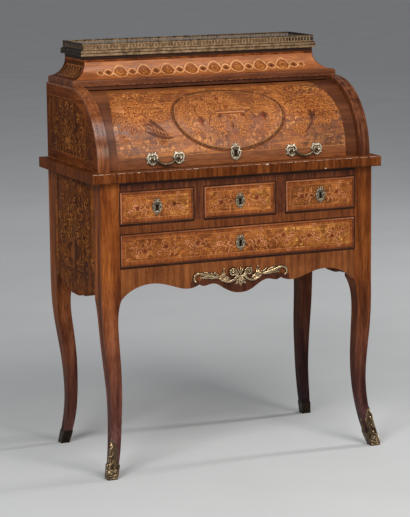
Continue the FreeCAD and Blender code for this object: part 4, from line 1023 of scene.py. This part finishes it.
# Two copies of the end band wood: the darker paints the shadow on the right border, the lighter the light on
# the left.
umber = polished_wood("cylinder_end_band", (0.07, 0.021, 0.008), (0.11, 0.033, 0.012), (0.155, 0.05, 0.018),
                      "X", figure=16, pores=0.3, gloss=0.4, coat=0.03, shine=0.1)
umber_painted_light = polished_wood("cylinder_end_band_painted_light", (0.11, 0.033, 0.011), (0.17, 0.053, 0.017),
                            (0.24, 0.08, 0.026), "X", figure=16, pores=0.3, gloss=0.4, coat=0.06, shine=0.2)
russet = polished_wood("cylinder_foot_band", (0.19, 0.055, 0.013), (0.27, 0.083, 0.019), (0.35, 0.114, 0.027),
                       "X", figure=24, **satin)
smoke = polished_wood("medallion_ring", (0.09, 0.032, 0.012), (0.15, 0.054, 0.02), (0.22, 0.085, 0.034), "X",
                      figure=160, shine=0.06, coat=0)
apricot = polished_wood("inlay_apricot", (0.48, 0.165, 0.04), (0.61, 0.23, 0.062), (0.7, 0.29, 0.088), "X",
                        figure=90)
rose_woods = (leaf_pale, rose, leaf_dark, leaf_dark)
soft_woods = (apricot, leaf_shaded, leaf_shaded, leaf_dark)
painted_shade_woods = (leaf_pale, leaf_shaded, leaf_shaded, leaf_dark)
dress(russet, "cylinder_shell")
dress(oak, "cylinder_quadrants")
dress(steel, "cylinder_lock_case", "cylinder_bolt")
dress(patina, "cylinder_escutcheon")

half = shell_high.x
shell_foot, shell_sweep = -2.2, 90.8
field_half, field_low, field_high, sheets = 326, turn(7), turn(77.6), 60
band_edge, painted_shadow_spread, shade_edge, ragged = 315, 34, 170, 46
cylinder = Marquetry("cylinder_marquetry", on_cylinder)
cylinder.ground(russet, -half, turn(shell_foot), half, field_low, along=20, up=10)
cylinder.ground(russet, -half, field_high, half, turn(shell_foot + shell_sweep), along=20, up=10)
levels = [turn(shell_foot + shell_sweep * k / 70) for k in range(71)]
inner_edge = [(band_edge - painted_shadow_spread * max(0, v / radius - 0.5) ** 1.5, v) for v in levels]
# Painted shadow on the right border, widening towards the top; the left border has the same shape in the
# lighter copy as painted light.
cylinder.strip(umber, inner_edge, [(half, v) for v in levels], 9)
cylinder.strip(umber_painted_light, [(-half, v) for v in levels], [(-u - 6, v) for u, v in inner_edge], 9)
cylinder.ground(amber, -field_half, field_low, field_half, field_high, layer=2, along=20, up=sheets)
# Painted shade: the right of the field, from a ragged edge, is laid in the darker copy.
for k in range(sheets):
    low, high = (field_low + (field_high - field_low) * j / sheets for j in (k, k + 1))
    start = shade_edge + ragged * wobble(k + 3)
    cylinder.ground(amber_painted_shade, start, low, field_half, high, layer=3, along=5, up=1)
border = notched(-field_half, field_low, field_half, field_high, 14)
cylinder.string(leaf_shaded, border, 2.6)
cylinder.string(pale_string, border, 0.9, layer=4)
oval, wide, tall, studs, stud_in = (0, turn(40)), 157, 100, 60, 4.3
rim = [(wide * cos(a), tall * sin(a)) for a in (pi * k / 40 for k in range(41))]
cylinder.patch(honey, [(x, oval[1] - y) for x, y in rim], [(x, oval[1] + y) for x, y in rim], up=40)
for wood, out, width in ((leaf_shaded, 1.5, 1.8), (smoke, -0.3, 8)):
    cylinder.ring(wood, oval, (wide + out, tall + out), width, layer=4, steps=120)
for k in range(studs):
    a = 2 * pi * k / studs
    stud = (wide - stud_in) * cos(a), oval[1] + (tall - stud_in) * sin(a)
    cylinder.disc(faded_leaf if k % 2 else leaf_dark, stud, 1.7, layer=5)
for wood, out, width in ((pale_string, -8.3, 1.0), (leaf_shaded, -9.3, 1.2)):
    cylinder.ring(wood, oval, (wide + out, tall + out), width, layer=5, steps=120)
for lower, upper, layer in (
        (((-310, 28), (-280, 24), (-240, 21), (-200, 24), (-168, 30)),
         ((-310, 44), (-280, 49), (-240, 46), (-200, 50), (-168, 44)), 3),
        (((168, 50), (200, 44), (240, 40), (280, 46), (310, 52)),
         ((168, 62), (200, 66), (240, 60), (280, 66), (310, 62)), 3),
        (((22, 56), (60, 50), (96, 46), (118, 48)), ((22, 67), (60, 65), (96, 60), (118, 56)), 4),
        (((-70, 25), (-30, 22), (20, 23), (64, 26)), ((-70, 31), (-30, 33), (20, 32), (64, 32)), 4)):
    lower, upper = ([(u, turn(v)) for u, v in through(edge, 6)] for edge in (lower, upper))
    cylinder.patch(tan, lower, upper, layer=layer)

ledge = turn(43)
cylinder.ground(leaf_dark, -32, ledge, 44, ledge + 1.6, layer=6, along=8, up=1)
cylinder.ground(leaf_pink, -34, ledge - 4, 46, ledge, layer=6, along=8)
cylinder.ground(leaf_shaded, -28, ledge - 8, 40, ledge - 4, layer=5, along=8)
cylinder.vase(-8, ledge + 1, 22, leaf_pale, leaf_shaded, leaf_dark)
bunch = ((8, 46), (24, 52), (42, 56), (60, 58), (78, 60), (96, 62), (114, 62), (132, 60), (150, 56),
         (170, 48), (52, 34), (74, 36), (98, 38), (122, 38), (146, 34))
shrink = 0.86
cylinder.fan((-8, ledge + 18), [(lean, length * shrink, 8) for lean, length in bunch], 0.35, soft_woods,
             (2, 17), leaves=9, size=15)
cylinder.flower((-16, turn(59)), 7, 6, rose, leaf_dark, leaf_dark, layer=7)
for at in (-26, 40):
    cylinder.disc(leaf_dark, (at, ledge - 12), 5, layer=6)
    cylinder.disc(leaf_shaded, (at, ledge - 12), 2)
for points in (((-78, 50), (-89, 47), (-88, 41), (-76, 34)), ((57, 44), (66, 40), (74, 35)),
               ((-50, 40), (-58, 35), (-62, 30))):
    cylinder.stem(leaf_dark, through([(u, turn(v)) for u, v in points], 6), 3.2, tip=0.5, layer=6)
for urn, angle in ((-80, 31), (96, 33)):
    cylinder.vase(urn, turn(angle), 22, rose, leaf_dark, leaf_dark)
    cylinder.fan((urn, turn(angle) + 22), [(lean, 30, 6) for lean in (30, 60, 90, 120, 150)], 0.6, soft_woods,
                 (61, 30), leaves=7, size=12)
strays = ((8, 33, 15, 60, 80), (8, 33, -40, 54, 130), (8, 28, 10, 66, 60), (8, 25, -20, 60, 90),
          (8, 21, 20, 56, 40), (70, 46, 50, 46, -70), (100, 46, -5, 40, 70), (88, 56, 40, 36, 40),
          (80, 24, 10, 46, 60), (104, 30, 40, 40, 40))
for side in (-1, 1):
    for i, (at, up, lean, length, bend) in enumerate(strays):
        cylinder.spray((side * at, turn(up)), 90 - side * (90 - lean), length, side * bend, soft_woods,
                       leaves=10, size=13, bloom=6, seed=51 + 5 * i + side)
cylinder.flower((2, turn(36)), 10, 8, leaf_pale, rose, leaf_dark)
cylinder.leaf((2, turn(33)), 270, 22, 9, leaf_dark, leaf_shaded)

upper_fan = ((8, 80, 8), (20, 98, 9), (32, 108, 10), (44, 116, 11), (56, 122, 11), (68, 126, 12),
             (80, 128, 12), (92, 128, 12), (104, 126, 11), (116, 118, 11), (128, 106, 10), (140, 92, 9),
             (152, 74, 9), (26, 62, 9), (46, 72, 10), (66, 80, 10), (86, 82, 10), (106, 76, 10), (126, 64, 9),
             (146, 50, 9), (58, 44, 8), (100, 46, 8))
lower_fan = ((186, 56, 40), (206, 50, 50), (340, 66, 60), (358, 74, 40), (322, 52, 60))
corner_sprays = ((176, 66), (198, 71), (296, 62), (304, 30), (176, 24), (304, 46), (182, 34))
for side in (-1, 1):
    # Sprays on the right take darker woods as painted shade.
    woods = soft_woods if side < 0 else painted_shade_woods
    for i, (lean, length, bloom) in enumerate(upper_fan):
        swing = lean if side > 0 else 180 - lean
        cylinder.spray((side * 232, turn(33)), swing, length * shrink, (swing - 90) * 0.3,
                       woods if i % 4 else rose_woods, leaves=13, size=16, bloom=bloom, seed=23 * i + side)
    for i, (lean, length, bend) in enumerate(lower_fan):
        swing = lean if side > 0 else 180 - lean
        cylinder.spray((side * 226, turn(31)), swing, length, side * bend, woods, leaves=10, size=14, bloom=8,
                       seed=29 * i + side)
    for i, (at, up) in enumerate(corner_sprays):
        cylinder.spray((side * at, turn(up)), 90 + side * (40 + 50 * i), 30, 70, soft_woods, leaves=8,
                       size=12, bloom=6, seed=71 + i)
for k in range(5):
    feather = leaf_shaded if k % 2 else leaf_dark
    cylinder.leaf((-160 - 6 * k, turn(22) + 3 * k), 166 - 9 * k, 84 - 6 * k, 13, feather, leaf_dark, bend=-24,
                  layer=6, steps=14)
for k in range(7):
    cylinder.leaf((-164 - 9 * k, turn(21.5) + 3.6 * k), 128 - 3 * k, 17, 3.4, leaf_pink, leaf_pale, bend=30,
                  layer=8)
for k in range(9):
    cylinder.leaf((-280, turn(47)), 96 + 9 * k, 44, 3.6, leaf_pink, leaf_pale, bend=16, layer=7)
stalk = through([(u, turn(v)) for u, v in ((203, 20), (216, 24), (227, 29), (231, 35))], 8)
cylinder.stem(leaf_dark, stalk, 3.4, tip=1.7, layer=8)
for lean, length in ((40, 20), (92, 22), (138, 15), (10, 13)):
    cylinder.leaf((230, turn(34)), lean, length, 6, leaf_dark, leaf_dark, bend=30, layer=8)
cylinder.lay_down("cylinder")

# Handles and cylinder escutcheon
# Two drop handles of brass: a swelling bail hung between two rocaille bosses, each with an oval cabochon.
# A larger escutcheon in the same taste guards the keyhole between them.

boss_brass = cast_metal("boss_brass", (0.86, 0.79, 0.64), (0.46, 0.4, 0.29), (0.02, 0.015, 0.01), gloss=0.34,
                        dull=0.55, dirty=(0.3, 0.85))
bail_brass = cast_metal("bail_brass", (0.2, 0.155, 0.1), (0.075, 0.056, 0.036), (0.02, 0.015, 0.01))
dress(patina, "handle_bosses")


def level_at(rise):
    """A height round the cylinder from a height over the pivots."""
    return turn(degrees(asin(rise / radius)))


boss_level, boss_stretch = level_at(15), 1.14
bosses = Casting("handle_rocaille", on_cylinder)
for at in (-229, -157, 157, 229):
    def around(points, side=1):
        return through([(at + side * boss_stretch * x, boss_level + y) for x, y in points], 6)
    for side in (-1, 1):
        bosses.scroll(around([(1.5, 11), (8, 11), (11, 5), (9.5, -4), (4.5, -11), (0, -15)], side), 5, 5.6,
                      tip=0.7, foot=1)
        bosses.leaf(around([(2, 10), (6, 13.5), (10.5, 15.5)], side), 6, 5.6, foot=1)
        bosses.leaf(around([(9, 6), (13, 4), (13.5, -2)], side), 5.4, 4.6, foot=0.8)
        bosses.leaf(around([(8, -5), (11.5, -8), (10, -12.5)], side), 5.4, 4.6, foot=0.8)
        bosses.leaf(around([(4, 7), (6.4, 0), (4, -8)], side), 4, 8, foot=1)
    bosses.leaf(around([(0, 9), (0, 13), (0, 17)]), 6, 6, foot=1)
    bosses.leaf(around([(0, -8), (0, -13), (0, -17)]), 6, 5.6, foot=1)
    bosses.bead(at, boss_level, 9, 14, 16.6, foot=0.5, dark=1)
bosses.fix("cylinder", "aged_brass", boss_brass)
plate_low, plate_high = box_mm("cylinder_escutcheon")
key_level = level_at((plate_low.z + plate_high.z) / 2 - pivot.z)
plate = Casting("cylinder_escutcheon_chased", lambda u, v, rise: on_cylinder(u, v, rise + 1.8))
rocaille(plate, 0, key_level, 1.1)
plate.fix("cylinder", "aged_brass", boss_brass)
keyhole("keyhole_cylinder", 0, key_level + 1, on_cylinder, "cylinder", grow=1.45)

half_drop = ((1, 0), (0.8, -0.8), (0.62, -6), (0.36, -12.2))
thin, swell, swell_reach, collar, collar_at, collar_wide = 2.3, 1.5, 1.25, 0.9, 0.78, 0.05
for side in ("left", "right"):
    low, high = box_mm("bail_" + side)
    middle, hung, top = (low.x + high.x) / 2, (low.y + high.y) / 2, high.z - 3.2
    reach = (high.x - low.x) / 2
    line = through([(-reach * x, top + y) for x, y in half_drop] + [(0, top - 14.4)]
                   + [(reach * x, top + y) for x, y in half_drop[::-1]], 8)
    shape = bmesh.new()
    rings = []
    for i, (point, way) in enumerate(zip(line, across(line))):
        t = abs(2 * i / (len(line) - 1) - 1)
        thick = thin + swell * cos(min(1, t * swell_reach) * pi / 2)
        if abs(t - collar_at) < collar_wide:
            thick += collar
        ring = []
        for b in (2 * pi * j / 14 for j in range(14)):
            side_way, out = thick * cos(b), thick * sin(b)
            spot = Vector((middle + point.x + way.x * side_way, hung + out, point.y + way.y * side_way))
            ring.append(shape.verts.new(spot * mm))
        rings.append(ring)
    bridge(shape, rings)
    shape.faces.new(rings[0])
    shape.faces.new(rings[-1])
    bmesh.ops.recalc_face_normals(shape, faces=shape.faces)
    bail = fit_piece("bail_swelled_" + side, shape, "bail_" + side, "aged_brass", bail_brass)
    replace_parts(bail, "bail_" + side)

# Pigeonhole nest
# Behind the cylinder a light nest of oak boards makes open pigeonholes over two small drawers. Their fronts
# are veneered like the large drawers inside a pale line, and each has a knob turned from brass.

dress(oak, "pigeonhole_nest")
dress(oak_deep, "nest_drawer_left", "nest_drawer_right")
on_nest = upright(box_mm("pigeonhole_nest")[0].y)
turned_knob = ((5.4, 0), (5.4, 0.8), (3.4, 1.5), (3.4, 4.4), (4.6, 6.4), (6.2, 8.3), (6.4, 9.5), (6.2, 10.7),
               (4.8, 12.1), (2, 12.5))
for side in ("left", "right"):
    body = "nest_drawer_" + side
    u0, v0, u1, v1 = edges = front_of(body)
    front = Marquetry("nest_veneer_" + side, on_nest)
    front.ground(field_wood, *inset(edges, 5))
    front.band(cross_level, cross_up, *inset(edges, 0.4), 6)
    front.string(pale_string, corners(*inset(edges, 6.6)), 0.8)
    front.lay_down(body)
    middle, level = (u0 + u1) / 2, (v0 + v1) / 2
    shape = bmesh.new()
    rings = [[shape.verts.new(on_nest(middle + wide * cos(a), level + wide * sin(a), out))
              for a in (2 * pi * j / 24 for j in range(24))] for wide, out in turned_knob]
    bridge(shape, rings)
    shape.faces.new(rings[-1])
    bmesh.ops.recalc_face_normals(shape, faces=shape.faces)
    fit_piece("nest_knob_" + side, shape, body, "aged_brass", brass)

# Roof: plinth, cove and top panel
# A moulded plinth, with pale strips along its lower edge as a painted highlight, carries a hollow frieze
# veneered in amber wood, inlaid with an interlaced band of pale rings and rosettes; a plain board closes the
# top.

plinth_wood = polished_wood("plinth_veneer", (0.094, 0.029, 0.0115), (0.175, 0.055, 0.021),
                            (0.26, 0.09, 0.036), "X", figure=50)
frieze_wood = polished_wood("cove_field", (0.29, 0.086, 0.02), (0.42, 0.134, 0.033), (0.52, 0.185, 0.052),
                            "X", figure=24, **satin)
ring_wood = polished_wood("cove_rings", (0.56, 0.25, 0.09), (0.73, 0.35, 0.145), (0.82, 0.43, 0.2), "X",
                          figure=90)
dress(plinth_wood, "plinth")
dress(cheek_band, "cove_frieze")
dress(dark_string_and_shadow, "top_panel")
# Pale strips along the plinth's lower edge: a painted highlight.
sill, highlight_strips = box_mm("plinth")[0], 44
plinth_highlight = Marquetry("plinth_painted_highlight", upright(sill.y))
for k in range(highlight_strips):
    at = sill.x + 6 - sill.x * 2 * k / highlight_strips
    plinth_highlight.ground(bead_wood, at, sill.z + 0.3, at + 6 + 9 * wobble(k), sill.z + 0.9 + 0.7 * wobble(k + 50))
plinth_highlight.lay_down("case")
cove_low, cove_high = box_mm("cove_frieze")
cove_deep, cove_tall, cove_inset, outside = 41, cove_high.z - cove_low.z, 44.5, 12
cove_skin = skin_of("cove_frieze")


def pressed(spot, way, rise):
    """Presses a veneer down on the hollow, coming at it from outside."""
    met = cove_skin.ray_cast((spot + way * outside) * mm, -way)[0]
    return (met or spot * mm) + way * (rise * mm)


def on_cove(u, v, rise):
    """u along the front and v up the hollow, in degrees of its curve."""
    a = radians(v)
    spot = Vector((u, cove_low.y + cove_deep * sin(a), cove_low.z + cove_tall * (1 - cos(a))))
    return pressed(spot, Vector((0, -sin(a), cos(a))), rise)


def on_cove_end(out):
    """The same round the end of the roof, on one side or the other."""
    def lay(u, v, rise):
        a = radians(v)
        spot = Vector((out * (cove_high.x - cove_inset * sin(a)), u, cove_low.z + cove_tall * (1 - cos(a))))
        return pressed(spot, Vector((out * sin(a), 0, cos(a))), rise)
    return lay


cove = Marquetry("cove_marquetry", on_cove)
cove_start, cove_sweep, end_sweep, strips = 3, 80, 82, 24
for i in range(strips):
    a, b = (cove_start + cove_sweep * k / strips for k in (i, i + 1))
    reach = [cove_high.x - 2 - cove_inset * sin(radians(t)) for t in (a, b)]
    cove.strip(frieze_wood, [(-reach[1], b), (0, b), (reach[1], b)],
               [(-reach[0], a), (0, a), (reach[0], a)], 1)
band_level, pitch, end_ring = 44, 66, 286
for k in range(8):
    rosette = (k - 3.5) * pitch, band_level
    cove.disc(leaf_shaded, rosette, 16, layer=2, tall=1.25, up=12)
    cove.disc(field_wood, rosette, 12.5, layer=3, tall=1.25, up=10)
    cove.flower(rosette, 10, 6, leaf_pale, leaf_dark, leaf_dark, turn=25 * k, layer=4)
for k in range(9):
    link = (k - 4) * pitch, band_level
    cove.disc(leaf_shaded, link, 8.5, layer=2, tall=1.4, up=8)
    cove.disc(leaf_dark, link, 4, layer=3, tall=1.3, up=4)
for hand in (-1, 1):
    for strand, width, layer in ((leaf_shaded, 6.6, 5), (ring_wood, 4.6, 6)):
        line, swing = [], hand
        for k in range(17):
            middle = (k / 2 - 4) * pitch
            wide, tall = (20.5, 26) if k % 2 else (12.5, 14)
            for t in (j / 8 for j in range(8)):
                line.append(Vector((middle - wide + 2 * wide * t,
                                    band_level + swing * tall * sin(pi * t) ** 0.7)))
            swing = -swing
        line.append(Vector((4 * pitch + 12.5, band_level)))
        cove.stem(strand, line, width, tip=1, layer=layer)
    cove.ring(ring_wood, (hand * end_ring, band_level), (10, 12), 3, layer=6, steps=28)
    cove.disc(leaf_shaded, (hand * end_ring, band_level), 6, layer=5, tall=1.2, up=6)
cove.lay_down("case")
for side, out in (("left", -1), ("right", 1)):
    end = Marquetry("cove_end_marquetry_" + side, on_cove_end(out))
    for i in range(strips):
        a, b = (cove_start + end_sweep * k / strips for k in (i, i + 1))
        mitre = [cove_low.y + cove_deep * sin(radians(t)) + 1 for t in (a, b)]
        rows = [(mitre[1], b), (cove_high.y, b)], [(mitre[0], a), (cove_high.y, a)]
        end.strip(dusky_leaf, *(rows if out > 0 else [row[::-1] for row in rows]), 1)
    for k in range(6):
        end.ring(leaf_pale, (78 + 20 * k, 46), (17, 26), 2.4, steps=32)
        end.leaf((78 + 20 * k, 34), 90, 24, 7, faded_leaf, dusky_leaf, layer=4)
    end.lay_down("case")

# Gallery
# A low brass gallery round the roof: a mitred moulding, and on it a rail pierced with a close row of slots
# under a plain rim. The brass is dull and brown and the rim darker; the grooves of the moulding and both end
# runs are painted shade in the darker brass.

gallery_brass = cast_metal("gallery_brass", (0.38, 0.26, 0.155), (0.155, 0.1, 0.056), (0.012, 0.009, 0.006),
                           gloss=0.36, dull=0.58)
# Darker brass for the rim, and painted shade for the moulding's grooves and the end runs.
rim_and_shade_brass = cast_metal("gallery_rim_and_painted_shade", (0.1, 0.075, 0.05), (0.04, 0.03, 0.02), (0.01, 0.008, 0.006),
                       gloss=0.36, dull=0.58)
low, high = box_mm("gallery")
base = ((0, 0), (0, 5.6), (1.6, 6), (1.6, 7.4), (0.5, 7.8), (0.5, 12.4), (1.2, 13.2), (2.8, 13.6),
        (2.8, 14.4), (4, 15), (4, 16), (12, 16), (16, 15), (16, 0))
foot_bar = ((6, 16), (6, 18.2), (8, 18.2), (8, 16))
head_bar = ((6, 27.6), (6, 30), (8, 30), (8, 27.6))
rim = ((5, 30), (4.7, 31.2), (5.4, 32.8), (7, 33), (8.6, 32.8), (9.3, 31.2), (9, 30))
grooves, rail_inset, slot_pitch, half_bar = (1, 2, 3, 6, 7, 8), 7, 9, 0.8
end_facing, end_deep = 0.7, 9.5


def on_roof(x, y, up):
    """A place over the foot of the gallery."""
    return Vector((x, y, low.z + up)) * mm


shape = bmesh.new()
# The grooves of the moulding take the darker brass as painted shade; the rim is all darker brass.
for profile, dark in ((base, grooves), (foot_bar, ()), (head_bar, ()), (rim, range(len(rim)))):
    mitred(shape, on_roof, (low.x, low.y, high.x, high.y), profile, lambda side, step: int(step in dark))
x0, y0, x1, y1 = low.x + rail_inset, low.y + rail_inset, high.x - rail_inset, high.y - rail_inset
for along, fixed, a, b in (("x", y0, x0, x1), ("x", y1, x0, x1), ("y", x0, y0, y1), ("y", x1, y0, y1)):
    count = round((b - a) / slot_pitch)
    for i in range(count + 1):
        at = a + (b - a) * i / count
        rings = []
        for up, wide in ((18, 2.6), (20, 1.6), (22.8, 2.2), (25.6, 1.6), (27.8, 2.6)):
            ring = []
            for p, q in corners(-wide, -half_bar, wide, half_bar):
                spot = (at + p, fixed + q) if along == "x" else (fixed + q, at + p)
                ring.append(shape.verts.new(on_roof(*spot, up)))
            rings.append(ring)
        bridge(shape, rings, smooth=False)
bmesh.ops.recalc_face_normals(shape, faces=shape.faces)
# Faces turned to the ends, and the ends of the runs, take the darker brass as painted shade.
for face in shape.faces:
    if abs(face.normal.x) > end_facing or abs(face.calc_center_median().x) > (high.x - end_deep) * mm:
        face.material_index = 1
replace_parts(fit_piece("gallery_pierced", shape, "case", "aged_brass", gallery_brass, rim_and_shade_brass), "gallery")

# Floor, light and camera
# A pale seamless floor, painted darker near the desk and lighter further off as painted light on the
# background, soft lights high on the left and over the front, a small one on the right that throws the long
# leg shadows, a dim reflector in front, and the camera where the desk is seen from its left.

floor_finish, tree, spot = new_finish("studio_floor")
mottle = shade(tree, "TexNoise", Vector=spot, Scale=3, Detail=4)["Fac"]
away = shade(tree, "VectorMath", operation="LENGTH", Vector=spot)["Value"]
reach = shade(tree, "MapRange", Value=away, From_Min=0.0, From_Max=20.0)["Result"]
# Painted light: the floor is painted darker near the desk and lighter from a few metres off.
tint = tones(tree, reach, (0.04, (0.585, 0.604, 0.617)), (0.2, (0.91, 0.925, 0.94)),
             (0.6, (0.77, 0.782, 0.795)))
colour = glaze(tree, tint, tones(tree, mottle, (0.3, (0.95, 0.95, 0.95)), (0.7, clear)), 1.0)
surface(tree, Base_Color=colour, Roughness=0.85, Specular_IOR_Level=0.1)
shape = bmesh.new()
bmesh.ops.create_circle(shape, cap_ends=True, segments=96, radius=60)
mesh = bpy.data.meshes.new("studio_floor")
shape.to_mesh(mesh)
shape.free()
mesh.materials.append(floor_finish)
floor = bpy.data.objects.new("studio_floor", mesh)
bpy.context.scene.collection.objects.link(floor)

sky = bpy.data.worlds.new("studio_fill")
sky.use_nodes = True
sky.node_tree.nodes["Background"].inputs["Color"].default_value = (0.214, 0.216, 0.222, 1)
bpy.context.scene.world = sky


def soft_light(name, place, aim, wide, tall, watts, tint):
    """A soft box at a place, turned to what it lights."""
    lamp = bpy.data.lights.new(name, "AREA")
    lamp.shape = "RECTANGLE"
    lamp.size, lamp.size_y, lamp.energy, lamp.color = wide, tall, watts, tint
    holder = bpy.data.objects.new(name, lamp)
    holder.location = place
    holder.rotation_euler = (Vector(aim) - Vector(place)).to_track_quat("-Z", "Y").to_euler()
    bpy.context.scene.collection.objects.link(holder)


soft_light("left_light", (-2.56, -2.08, 2.84), (0, 0, 0.6), 1.5, 1.5, 76, (1.0, 0.985, 0.96))
soft_light("boom_light", (0.42, -2.1, 3.36), (0, 0, 0.6), 1.6, 1.4, 52, (1.0, 0.985, 0.96))
soft_light("right_light", (3.5, -0.1, 1.5), (0, 0, 0.3), 0.3, 0.3, 56, (1.0, 0.99, 0.97))
soft_light("front_reflector", (0.63, -2.05, 1.46), (-0.2, 0, 0.8), 0.6, 0.5, 9.5, (1.0, 0.87, 0.75))

lens = bpy.data.cameras.new("camera")
lens.lens, lens.sensor_width = 140.64, 36
lens.shift_x, lens.shift_y = -0.0232, -0.034
camera = bpy.data.objects.new("camera", lens)
pan, tilt, roll = (Matrix.Rotation(radians(angle), 4, axis)
                   for angle, axis in ((-24.039, "Z"), (90 - 9.62, "X"), (-0.507, "Z")))
camera.matrix_world = Matrix.Translation((-2.119, -4.7789, 1.4318)) @ (pan @ tilt @ roll)
bpy.context.scene.collection.objects.link(camera)
bpy.context.scene.camera = camera
bpy.context.scene.view_settings.view_transform = "Standard"
